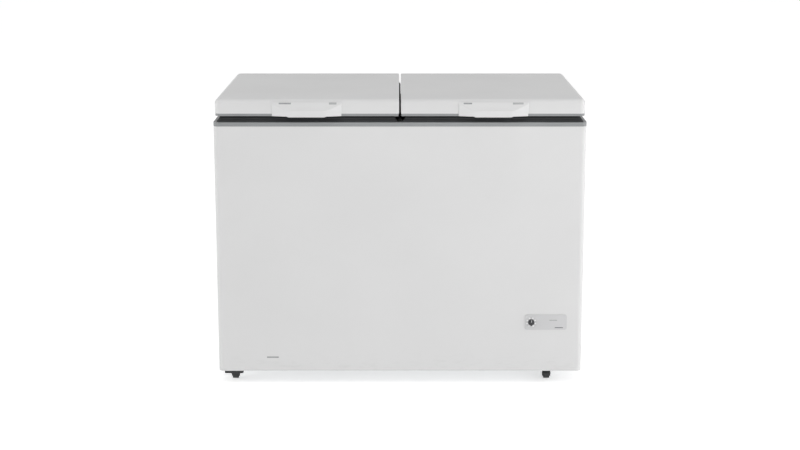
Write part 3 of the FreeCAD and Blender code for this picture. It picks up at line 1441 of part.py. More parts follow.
def main():
    """Write every piece as its own file."""
    nodes = cabinet_nodes()
    for name in SIDES:
        nodes.update(lid_nodes(name))
    nodes.update(caster_nodes())
    os.makedirs("parts", exist_ok=True)
    for name, shape in nodes.items():
        shape.exportStep(f"parts/{name}.step")
    print(f"{len(nodes)} nodes, least gap between spring turns {spring_self_gap():.2f} mm")


main()
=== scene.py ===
"""Looks of a two-lid chest freezer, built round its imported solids.

The frame is the solids' own: metres, +Z up, the front faces -Y. Sizes in the classes are millimetres.
"""
from __future__ import annotations

import json
import logging
import math
from dataclasses import dataclass
from enum import Enum

import bmesh
import bpy
import numpy as np
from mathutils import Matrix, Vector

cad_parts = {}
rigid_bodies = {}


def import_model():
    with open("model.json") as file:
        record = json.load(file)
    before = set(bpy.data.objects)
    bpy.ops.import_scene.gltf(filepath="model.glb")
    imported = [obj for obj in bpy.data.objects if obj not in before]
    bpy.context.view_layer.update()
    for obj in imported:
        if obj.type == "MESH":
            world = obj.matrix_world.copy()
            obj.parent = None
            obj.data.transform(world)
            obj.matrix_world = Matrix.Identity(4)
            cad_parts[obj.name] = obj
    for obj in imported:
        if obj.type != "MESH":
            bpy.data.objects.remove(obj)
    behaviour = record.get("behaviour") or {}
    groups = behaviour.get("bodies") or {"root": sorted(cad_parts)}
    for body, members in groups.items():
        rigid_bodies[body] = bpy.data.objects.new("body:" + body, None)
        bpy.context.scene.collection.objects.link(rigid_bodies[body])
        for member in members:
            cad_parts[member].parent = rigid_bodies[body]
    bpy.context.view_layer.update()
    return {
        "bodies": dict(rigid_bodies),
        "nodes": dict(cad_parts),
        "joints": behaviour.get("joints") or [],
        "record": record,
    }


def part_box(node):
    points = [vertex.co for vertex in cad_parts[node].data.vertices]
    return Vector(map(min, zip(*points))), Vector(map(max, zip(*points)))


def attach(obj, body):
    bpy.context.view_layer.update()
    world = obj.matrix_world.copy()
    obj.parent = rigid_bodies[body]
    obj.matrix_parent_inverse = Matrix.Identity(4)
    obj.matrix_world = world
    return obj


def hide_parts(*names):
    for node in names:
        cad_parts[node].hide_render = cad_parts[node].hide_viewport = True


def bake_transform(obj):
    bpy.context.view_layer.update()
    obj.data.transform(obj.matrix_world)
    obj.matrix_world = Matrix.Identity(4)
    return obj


LOG = logging.getLogger("chest_freezer")
MM = 0.001
Tree = bpy.types.NodeTree
Socket = bpy.types.NodeSocket
Pair = tuple[float, float]
Point = tuple[float, float, float]
Colour = tuple[float, float, float, float]

# Curve of the sRGB standard
SRGB_KNEE = 0.04045
SRGB_SLOPE = 12.92
SRGB_LIFT = 0.055
SRGB_POWER = 2.4
WHITE = "#FFFFFF"

# Sockets of the colour mixer: the share, the two colours and the result
MIX_SHARE = 0
MIX_FIRST = 6
MIX_SECOND = 7
MIX_RESULT = 2

# Noise keeps near its middle, so part of its range is spread out for the drift and for the rub marks
DRIFT_RANGE = (0.34, 0.66)
MARK_RANGE = (0.52, 0.72)
# Octaves of noise in the fine relief, the drift and the rub marks
RELIEF_DETAIL = 2.0
DRIFT_DETAIL = 3.0
MARK_DETAIL = 4.0
# Texture space along draw lines and rub marks: a smaller scale makes longer marks
DRAWN_SCALE = (0.06, 1.0, 1.0)
MARK_SCALE = (0.25, 0.25, 1.0)
# How round the pebbles are, how strongly relief shows and how finely soft edges are sampled
PEBBLE_SMOOTHNESS = 0.5
BUMP_STRENGTH = 0.6
BEVEL_SAMPLES = 4

# Angle between faces from which their edge is shaded sharp
SHARP_ANGLE = math.radians(38.0)
# Least corner radius of an outline that is drawn in
LEAST_CORNER_MM = 0.5
# Most of a side that the curve at one of its corners takes
MOST_OF_SIDE = 0.45
# Steps in a corner of a small plate, and where its soft edge bends as a share of the edge's width
PLATE_ARC = 5
EDGE_BEND = 0.3
# One over the highest value of s squared times (1 - s)
SCOOP_SCALE = 6.75
# Decimals to which places along a grip are told apart
PLACE_DECIMALS = 2
# Faces of a block by the numbers of its corners
BLOCK_FACES = [[0, 1, 2, 3], [7, 6, 5, 4], [0, 4, 5, 1], [1, 5, 6, 2], [2, 6, 7, 3], [3, 7, 4, 0]]
# Width of the camera's sensor
SENSOR_MM = 36.0


def linear(hex_colour: str) -> Colour:
    """Turn an sRGB hex colour into linear light.

    Args:
        hex_colour: six hex digits after a hash sign.

    Returns:
        Red, green and blue in linear light, and an alpha of 1.
    """
    srgb = np.array([int(hex_colour[i:i + 2], 16) for i in (1, 3, 5)]) / 255.0
    curve = ((srgb + SRGB_LIFT) / (1.0 + SRGB_LIFT)) ** SRGB_POWER
    light = np.where(srgb <= SRGB_KNEE, srgb / SRGB_SLOPE, curve)
    return (*light.tolist(), 1.0)


def per_metre(size_mm: float) -> float:
    """Texture scale at which one feature is about size_mm wide."""
    return 1.0 / (size_mm * MM)


def add(tree: Tree, kind: str, settings: dict | None = None, inputs: dict | None = None) -> bpy.types.Node:
    """Add one node with its settings and links.

    Args:
        tree: node tree that gets the node.
        kind: Blender's name of the node type.
        settings: properties of the node by name.
        inputs: values or sockets for its inputs, by name or number.

    Returns:
        The new node.
    """
    made = tree.nodes.new(kind)
    for name, value in (settings or {}).items():
        setattr(made, name, value)
    for key, value in (inputs or {}).items():
        if isinstance(value, Socket):
            tree.links.new(value, made.inputs[key])
        else:
            made.inputs[key].default_value = value
    return made


def ranged(tree: Tree, value: Socket, source: Pair = (0.0, 1.0), target: Pair = (0.0, 1.0)) -> Socket:
    """Spread one range of a value over another, clipped at its ends.

    Args:
        tree: node tree that gets the node.
        value: socket with the value.
        source: range of the value.
        target: range that it is spread over.

    Returns:
        Socket with the new value.
    """
    ends = {"From Min": source[0], "From Max": source[1], "To Min": target[0], "To Max": target[1]}
    return add(tree, "ShaderNodeMapRange", {}, {"Value": value, **ends}).outputs["Result"]


def noise(tree: Tree, place: Socket, size_mm: float, detail: float) -> Socket:
    """Add noise.

    Args:
        tree: node tree that gets the node.
        place: socket with coordinates in metres.
        size_mm: width of one feature.
        detail: octaves of finer noise.

    Returns:
        Socket with the noise.
    """
    inputs = {"Vector": place, "Scale": per_metre(size_mm), "Detail": detail}
    return add(tree, "ShaderNodeTexNoise", {}, inputs).outputs["Fac"]


def mixed(tree: Tree, share: Socket, first: Socket | Colour, second: Colour) -> Socket:
    """Mix two colours.

    Args:
        tree: node tree that gets the node.
        share: socket with the share of the second colour.
        first: first colour, or its socket.
        second: second colour.

    Returns:
        Socket with the mixed colour.
    """
    inputs = {MIX_SHARE: share, MIX_FIRST: first, MIX_SECOND: second}
    return add(tree, "ShaderNodeMix", {"data_type": "RGBA"}, inputs).outputs[MIX_RESULT]


class Relief(Enum):
    """What gives a surface its fine relief."""

    PEEL = "orange peel of sprayed enamel"
    SPANGLE = "crystals of a zinc bath"
    STUCCO = "pebbles rolled into sheet"
    GRAIN = "spark-eroded grain of a mould"
    DRAWN = "lines left by drawing"
    CELLS = "cells of poured foam"


@dataclass(frozen=True)
class Scuff:
    """Faint rub marks that gather above the floor.

    Attributes:
        colour: colour of a mark.
        low_mm: height at which the marks are thickest.
        reach_mm: height over which they die away.
        mark_mm: width of one mark.
        share: how much of the marks' colour shows.
    """

    colour: str
    low_mm: float
    reach_mm: float
    mark_mm: float
    share: float


@dataclass(frozen=True)
class Finish:
    """One real finish, from how its surface is made.

    Attributes:
        name: common name of the material and its making.
        colour: main colour.
        tint: colour that the main one drifts towards.
        roughness: middle of the gloss.
        relief: kind of fine relief.
        relief_mm: width of one feature of the relief.
        depth_mm: height of the relief.
        spread: how far the gloss drifts either way.
        blotch_mm: width of the slow drift in colour and gloss.
        metallic: 1 for bare metal.
        ior: refraction of the surface layer.
        edge_mm: radius that softens shading at hard edges.
        scuff: rub marks, where the surface has them.
    """

    name: str
    colour: str
    tint: str
    roughness: float
    relief: Relief
    relief_mm: float
    depth_mm: float
    spread: float = 0.05
    blotch_mm: float = 160.0
    metallic: float = 0.0
    ior: float = 1.5
    edge_mm: float = 0.6
    scuff: Scuff | None = None

    def height(self, tree: Tree, place: Socket) -> Socket:
        """Texture of the fine relief.

        Args:
            tree: the material's nodes.
            place: socket with object coordinates in metres.

        Returns:
            Socket with the relief's height, or the tone of each crystal for zinc.
        """
        if self.relief is Relief.DRAWN:
            drawn = add(tree, "ShaderNodeMapping", {}, {"Vector": place, "Scale": DRAWN_SCALE})
            place = drawn.outputs["Vector"]
        if self.relief in (Relief.DRAWN, Relief.PEEL, Relief.GRAIN):
            return noise(tree, place, self.relief_mm, RELIEF_DETAIL)
        cells = add(tree, "ShaderNodeTexVoronoi", {}, {"Vector": place, "Scale": per_metre(self.relief_mm)})
        if self.relief is Relief.SPANGLE:
            return add(tree, "ShaderNodeSeparateColor", {}, {0: cells.outputs["Color"]}).outputs[0]
        if self.relief is Relief.STUCCO:
            cells.feature = "SMOOTH_F1"
            cells.inputs["Smoothness"].default_value = PEBBLE_SMOOTHNESS
        return cells.outputs["Distance"]

    def rubbed(self, tree: Tree, place: Socket, colour: Socket) -> Socket:
        """Lay rub marks over a colour, thickest near the floor.

        Args:
            tree: the material's nodes.
            place: socket with object coordinates in metres.
            colour: socket with the clean colour.

        Returns:
            Socket with the marked colour.
        """
        scuff = self.scuff
        up = add(tree, "ShaderNodeSeparateXYZ", {}, {0: place}).outputs["Z"]
        span = (scuff.low_mm * MM, (scuff.low_mm + scuff.reach_mm) * MM)
        near = ranged(tree, up, span, (scuff.share, 0.0))
        drag = add(tree, "ShaderNodeMapping", {}, {"Vector": place, "Scale": MARK_SCALE}).outputs["Vector"]
        marks = ranged(tree, noise(tree, drag, scuff.mark_mm, MARK_DETAIL), MARK_RANGE)
        both = add(tree, "ShaderNodeMath", {"operation": "MULTIPLY"}, {0: near, 1: marks})
        return mixed(tree, both.outputs["Value"], colour, linear(scuff.colour))

    def material(self) -> bpy.types.Material:
        """Build the finish as a node material on object coordinates.

        Returns:
            The new material.
        """
        made = bpy.data.materials.new(self.name)
        made.use_nodes = True
        tree = made.node_tree
        tree.nodes.clear()
        place = add(tree, "ShaderNodeTexCoord").outputs["Object"]
        drift = ranged(tree, noise(tree, place, self.blotch_mm, DRIFT_DETAIL), DRIFT_RANGE)
        height = self.height(tree, place)
        tone = height if self.relief is Relief.SPANGLE else drift
        colour = mixed(tree, tone, linear(self.colour), linear(self.tint))
        if self.scuff is not None:
            colour = self.rubbed(tree, place, colour)
        gloss = ranged(tree, tone, target=(self.roughness - self.spread, self.roughness + self.spread))
        edge = add(tree, "ShaderNodeBevel", {"samples": BEVEL_SAMPLES}, {"Radius": self.edge_mm * MM})
        bump = add(tree, "ShaderNodeBump", {}, {
            "Strength": BUMP_STRENGTH, "Distance": self.depth_mm * MM, "Height": height,
            "Normal": edge.outputs["Normal"]})
        shader = add(tree, "ShaderNodeBsdfPrincipled", {}, {
            "Base Color": colour, "Roughness": gloss, "Metallic": self.metallic, "IOR": self.ior,
            "Normal": bump.outputs["Normal"]})
        add(tree, "ShaderNodeOutputMaterial", {}, {"Surface": shader.outputs["BSDF"]})
        return made


FLOOR_RUB = Scuff(colour="#8F8F8C", low_mm=44.0, reach_mm=70.0, mark_mm=9.0, share=0.1)

# The finishes, by the record's material slots
FINISHES = {
    # Sprayed and baked enamel on sheet steel: soft gloss, a faint orange peel about 2 mm wide
    "white_enamel": Finish(
        "sprayed white enamel", "#DDDDDD", "#DBDBDB", 0.54, Relief.PEEL, 2.2, 0.012, spread=0.02,
        blotch_mm=300.0, scuff=FLOOR_RUB),
    # Coil-coated galvanised back sheet: duller, greyer
    "back_enamel": Finish(
        "coil-coated back sheet", "#C3C5C5", "#BEC0C0", 0.5, Relief.PEEL, 1.6, 0.012, blotch_mm=220.0),
    # Hot-dip zinc: flat crystals 6 mm wide, each with its own tone and gloss
    "zinc_steel": Finish(
        "hot-dip galvanised sheet", "#A3A6A8", "#C2C5C7", 0.36, Relief.SPANGLE, 6.0, 0.004, spread=0.12,
        metallic=1.0, edge_mm=0.4),
    # Stucco-rolled aluminium: bright pebbles about 5 mm wide
    "liner_aluminium": Finish(
        "stucco-rolled aluminium", "#EEF0F1", "#E5E7E9", 0.34, Relief.STUCCO, 5.0, 0.45, metallic=1.0,
        edge_mm=1.0),
    # Poured polyurethane: pale yellow with open cells, drawn coarse enough to show
    "foam": Finish("poured polyurethane foam", "#E8D9AC", "#DCC88F", 0.9, Relief.CELLS, 2.0, 0.5),
    # Extruded and moulded grey ABS: satin, with fine mould grain drawn coarse enough to show
    "grey_plastic": Finish("moulded grey ABS", "#97999A", "#8F9192", 0.46, Relief.GRAIN, 0.9, 0.02),
    # Extruded soft PVC of the seals and feet: dull and dark, with faint draw lines
    "dark_rubber": Finish(
        "extruded soft PVC", "#38393A", "#303132", 0.62, Relief.DRAWN, 1.2, 0.05, edge_mm=0.5),
    # Moulded and vacuum-formed white plastic: smoother and glossier than the enamel
    "white_plastic": Finish(
        "moulded white ABS", "#DFDFDF", "#DDDDDD", 0.4, Relief.GRAIN, 1.0, 0.008, spread=0.02,
        blotch_mm=120.0, edge_mm=0.8),
    # Moulded control panel: pale grey, fine grain
    "panel_plastic": Finish("moulded pale grey ABS", "#CDCDCE", "#C8C8C9", 0.42, Relief.GRAIN, 0.7, 0.02),
    # Moulded dark grey knob: satin
    "knob_plastic": Finish("moulded dark grey nylon", "#3A3B3E", "#333437", 0.4, Relief.GRAIN, 0.6, 0.03),
    # Dipped black enamel of the compressor: glossy with sags
    "black_enamel": Finish(
        "dipped black enamel", "#1E1E20", "#262628", 0.28, Relief.PEEL, 6.0, 0.06, blotch_mm=60.0),
    # Drawn copper tube: bright, with darker handling stains
    "copper": Finish(
        "drawn copper tube", "#C9825F", "#A9633F", 0.32, Relief.DRAWN, 1.5, 0.02, spread=0.1,
        blotch_mm=35.0, metallic=1.0, edge_mm=0.3),
    # Moulded black polypropylene: matte grain
    "black_plastic": Finish(
        "moulded black polypropylene", "#2A2A2C", "#232325", 0.55, Relief.GRAIN, 0.9, 0.04, edge_mm=0.4),
    # Zinc-plated steel of pins, screws and springs: bright with a faint warm drift
    "plated_steel": Finish(
        "zinc-plated steel", "#C4C6C6", "#B3B3AC", 0.27, Relief.DRAWN, 0.8, 0.01, blotch_mm=14.0,
        metallic=1.0, edge_mm=0.3),
    # Extruded and moulded pale drain parts
    "tube_plastic": Finish("moulded pale polyethylene", "#D2D4D5", "#C9CBCD", 0.5, Relief.GRAIN, 1.2, 0.03),
    # Moulded wheel: black nylon polished by rolling
    "wheel_plastic": Finish(
        "rolled black nylon", "#2B2B2D", "#353536", 0.48, Relief.GRAIN, 1.1, 0.05, blotch_mm=9.0),
}

# Bare tube instead of rolled sheet on the aluminium coil
DRAWN_ALUMINIUM = Finish(
    "drawn aluminium tube", "#D5D7D8", "#C8CBCD", 0.32, Relief.DRAWN, 1.5, 0.02, blotch_mm=40.0,
    metallic=1.0, edge_mm=0.3)

# Blank badges: brushed aluminium foil under lacquer, and a paler printed field
BADGE_FOIL = Finish(
    "brushed aluminium badge", "#A2A4A5", "#959798", 0.42, Relief.DRAWN, 0.7, 0.01, blotch_mm=12.0,
    edge_mm=0.2)
PALE_PRINT = Finish(
    "pale grey print", "#B4B5B6", "#AEAFB0", 0.45, Relief.GRAIN, 0.6, 0.01, blotch_mm=10.0, edge_mm=0.1)


def ink(name: str, colour: str, tint: str) -> Finish:
    """Finish of an ink screen-printed on the control panel: matte, slightly uneven."""
    return Finish(name, colour, tint, 0.5, Relief.GRAIN, 0.6, 0.01, blotch_mm=8.0, edge_mm=0.1)


WHITE_PRINT = ink("white screen print", "#F6F6F6", "#F0F0F0")
GREY_PRINT = ink("grey screen print", "#AEB0B1", "#A6A8A9")
DARK_PRINT = ink("dark grey screen print", "#7C7E80", "#747678")


@dataclass
class Shell:
    """One closed surface.

    Attributes:
        points: corner points, one row each, in millimetres.
        faces: each face as a list of point numbers.
    """

    points: np.ndarray
    faces: list[list[int]]


def grid_shell(points: np.ndarray, wrap_rows: bool, capped: bool) -> Shell:
    """Close a grid of points whose columns go round.

    Args:
        points: array of rows by columns by 3; each row is a closed loop.
        wrap_rows: True where the last row meets the first.
        capped: True where the first and last loops are filled.

    Returns:
        The surface.
    """
    rows, cols = points.shape[:2]
    first = np.arange(rows if wrap_rows else rows - 1)
    row, col = np.meshgrid(first, np.arange(cols), indexing="ij")
    next_row, next_col = (row + 1) % rows, (col + 1) % cols
    quads = np.stack([
        row * cols + col, row * cols + next_col, next_row * cols + next_col, next_row * cols + col], -1)
    faces = quads.reshape(-1, 4).tolist()
    if capped:
        faces.append(list(range(cols))[::-1])
        faces.append(list(range((rows - 1) * cols, rows * cols)))
    return Shell(points.reshape(-1, 3), faces)


def joined(shells: list[Shell]) -> Shell:
    """Put several surfaces into one, each still closed.

    Args:
        shells: the surfaces.

    Returns:
        One surface with all their points and faces.
    """
    starts = np.cumsum([0] + [len(shell.points) for shell in shells])
    faces = []
    for start, shell in zip(starts.tolist(), shells):
        faces += [[start + i for i in face] for face in shell.faces]
    return Shell(np.concatenate([shell.points for shell in shells]), faces)


def stacked(*parts: np.ndarray | float) -> np.ndarray:
    """Put coordinates side by side, each spread to the shape of the largest."""
    return np.stack(np.broadcast_arrays(*parts), -1)


def smooth_step(value: np.ndarray) -> np.ndarray:
    """Ease from 0 to 1: three squares less two cubes of the clipped value."""
    part = np.clip(value, 0.0, 1.0)
    return part * part * (3.0 - 2.0 * part)


def rounded_loops(
    low: Pair, high: Pair, radii: tuple[float, ...], inset: np.ndarray, arc: int = 8
) -> np.ndarray:
    """Rounded rectangles drawn inwards, as loops with matching points.

    Each corner is a quarter circle whose radius shrinks with the inset, to no less than LEAST_CORNER_MM.

    Args:
        low: lower corner of the rectangle.
        high: upper corner of the rectangle.
        radii: corner radii with no inset, in turn from the lower corner.
        inset: how far each loop is drawn in.
        arc: steps in a corner.

    Returns:
        Array of loops by points by 2.
    """
    depth = np.asarray(inset, float)[:, None, None]
    bend = np.maximum(np.array(radii)[None, :, None] - depth, LEAST_CORNER_MM)
    turn = np.linspace(0.0, math.pi / 2, arc + 1)[None, None, :]
    start = np.array([math.pi, 1.5 * math.pi, 0.0, 0.5 * math.pi])[None, :, None]
    at_low_x = np.array([True, False, False, True])[None, :, None]
    at_low_y = np.array([True, True, False, False])[None, :, None]
    x_mid = np.where(at_low_x, low[0] + depth + bend, high[0] - depth - bend)
    y_mid = np.where(at_low_y, low[1] + depth + bend, high[1] - depth - bend)
    loop = stacked(x_mid + bend * np.cos(start + turn), y_mid + bend * np.sin(start + turn))
    return loop.reshape(len(depth), -1, 2)


def rounded_profile(corners: list[np.ndarray], radii: list[float], steps: int = 6) -> np.ndarray:
    """Profiles with each corner replaced by a quadratic curve tangent to its two sides.

    Args:
        corners: for each corner, its place in every profile, as an array of profiles by 2.
        radii: how far from each corner its curve starts; 0 leaves the corner sharp.
        steps: steps in a curve.

    Returns:
        Array of profiles by points by 2.
    """
    places = np.stack(corners, 1)
    made = []
    for k, radius in enumerate(radii):
        here, back, ahead = places[:, k], places[:, k - 1], places[:, (k + 1) % len(radii)]
        if radius <= 0:
            made.append(here[:, None])
            continue
        to_back, to_ahead = back - here, ahead - here
        long_back = np.linalg.norm(to_back, axis=1, keepdims=True)
        long_ahead = np.linalg.norm(to_ahead, axis=1, keepdims=True)
        reach = np.minimum(radius, MOST_OF_SIDE * np.minimum(long_back, long_ahead))
        start = here + to_back / long_back * reach
        end = here + to_ahead / long_ahead * reach
        s = np.linspace(0.0, 1.0, steps + 1)[None, :, None]
        made.append((1 - s) ** 2 * start[:, None] + 2 * s * (1 - s) * here[:, None] + s ** 2 * end[:, None])
    return np.concatenate(made, 1)


def tube_shell(path: np.ndarray, radius: float, axis: Point, sides: int = 14) -> Shell:
    """Round wire along a path: a circle in the plane of the two normals at each point.

    Args:
        path: points of the centre line.
        radius: radius of the wire.
        axis: direction that the path never follows.
        sides: points round the wire.

    Returns:
        The wire, with flat ends.
    """
    way = np.gradient(path, axis=0)
    way /= np.linalg.norm(way, axis=1, keepdims=True)
    side = np.cross(way, np.array(axis))
    side /= np.linalg.norm(side, axis=1, keepdims=True)
    other = np.cross(way, side)
    turn = np.linspace(0.0, 2 * math.pi, sides, endpoint=False)[None, :, None]
    ring = path[:, None] + radius * (np.cos(turn) * side[:, None] + np.sin(turn) * other[:, None])
    return grid_shell(ring, wrap_rows=False, capped=True)


@dataclass(frozen=True)
class Trim:
    """Edges of a thin plate.

    Attributes:
        corner: corner radius.
        thick: how far the plate stands out.
        edge: width of its soft edge.
    """

    corner: float
    thick: float
    edge: float


def front_stack(middle: Pair, size: Pair, corner: float, levels: np.ndarray, face_y: float) -> Shell:
    """Rounded rectangles stacked outwards from a front face.

    Args:
        middle: x and z of their centre.
        size: width and height of the first one.
        corner: its corner radius.
        levels: how far each one is drawn in and how far it stands out.
        face_y: y of the face.

    Returns:
        The stack, closed at both ends.
    """
    low = (middle[0] - size[0] / 2, middle[1] - size[1] / 2)
    high = (middle[0] + size[0] / 2, middle[1] + size[1] / 2)
    loops = rounded_loops(low, high, (corner,) * 4, levels[:, 0], arc=PLATE_ARC)
    points = stacked(loops[..., 0], (face_y - levels[:, 1])[:, None], loops[..., 1])
    return grid_shell(points, wrap_rows=False, capped=True)


def front_plate(middle: Pair, size: Pair, face_y: float, trim: Trim) -> Shell:
    """Thin plate on a front face, its last levels drawn in for a soft edge.

    Args:
        middle: x and z of its centre.
        size: width and height.
        face_y: y of the face that it lies on.
        trim: its edges.

    Returns:
        The plate.
    """
    bend = EDGE_BEND * trim.edge
    levels = np.array([
        [0.0, 0.0], [0.0, trim.thick - trim.edge], [bend, trim.thick - bend], [trim.edge, trim.thick]])
    return front_stack(middle, size, trim.corner, levels, face_y)


class Workshop:
    """Makes finishes and pieces, and reports each one."""

    def __init__(self) -> None:
        """Start with no material made."""
        self._made: dict[str, bpy.types.Material] = {}

    def material(self, finish: Finish) -> bpy.types.Material:
        """Give the material of a finish, made once."""
        if finish.name not in self._made:
            self._made[finish.name] = finish.material()
        return self._made[finish.name]

    def dress(self, node: bpy.types.Object, finish: Finish) -> None:
        """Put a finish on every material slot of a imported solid."""
        for slot in node.material_slots:
            slot.material = self.material(finish)
        LOG.info("dressed %s in %s", node.name, finish.name)

    def piece(self, name: str, shell: Shell, slot: str, finish: Finish | None = None) -> bpy.types.Object:
        """Make an object from a surface, at the origin, with its faces outwards.

        Args:
            name: name of the piece.
            shell: its surface, in millimetres.
            slot: the record's material slot that it belongs to.
            finish: its finish, where that isn't the slot's.

        Returns:
            The object, which rides on nothing yet.
        """
        finish = finish or FINISHES[slot]
        mesh = bpy.data.meshes.new(name)
        mesh.from_pydata((shell.points * MM).tolist(), [], shell.faces)
        work = bmesh.new()
        work.from_mesh(mesh)
        bmesh.ops.recalc_face_normals(work, faces=work.faces)
        work.to_mesh(mesh)
        work.free()
        mesh.polygons.foreach_set("use_smooth", np.ones(len(mesh.polygons), bool))
        mesh.set_sharp_from_angle(angle=SHARP_ANGLE)
        mesh.materials.append(self.material(finish))
        made = bpy.data.objects.new(name, mesh)
        bpy.context.scene.collection.objects.link(made)
        LOG.info("built %s: %d faces in %s", name, len(mesh.polygons), finish.name)
        return made


def box_mm(node: str) -> tuple[np.ndarray, np.ndarray]:
    """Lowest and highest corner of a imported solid, in millimetres."""
    low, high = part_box(node)
    return np.array(low) / MM, np.array(high) / MM


@dataclass
class Badge:
    """Small blank plate on a front face.

    Attributes:
        x: its middle along the front.
        size: width and height.
        finish: its finish.
        proud: how far it stands out.
        root: how far it goes in behind the surface.
        corner: corner radius.
        edge: width of its soft edge.
    """

    x: float
    size: Pair
    finish: Finish
    proud: float = 0.5
    root: float = 0.6
    corner: float = 0.9
    edge: float = 0.25

    def shell(self, y: float, z: float, lean: float) -> Shell:
        """Plate on a sloping surface: an upright plate turned about the x axis through its middle.

        Args:
            y: y of the surface at the plate's middle.
            z: z of the surface at the plate's middle.
            lean: angle of the surface from upright, in radians.

        Returns:
            The plate.
        """
        trim = Trim(self.corner, self.root + self.proud, self.edge)
        plate = front_plate((self.x, 0.0), self.size, self.root, trim)
        across, out, up = plate.points.T
        turned = stacked(
            across, y + out * math.cos(lean) + up * math.sin(lean),
            z - out * math.sin(lean) + up * math.cos(lean))
        return Shell(turned, plate.faces)


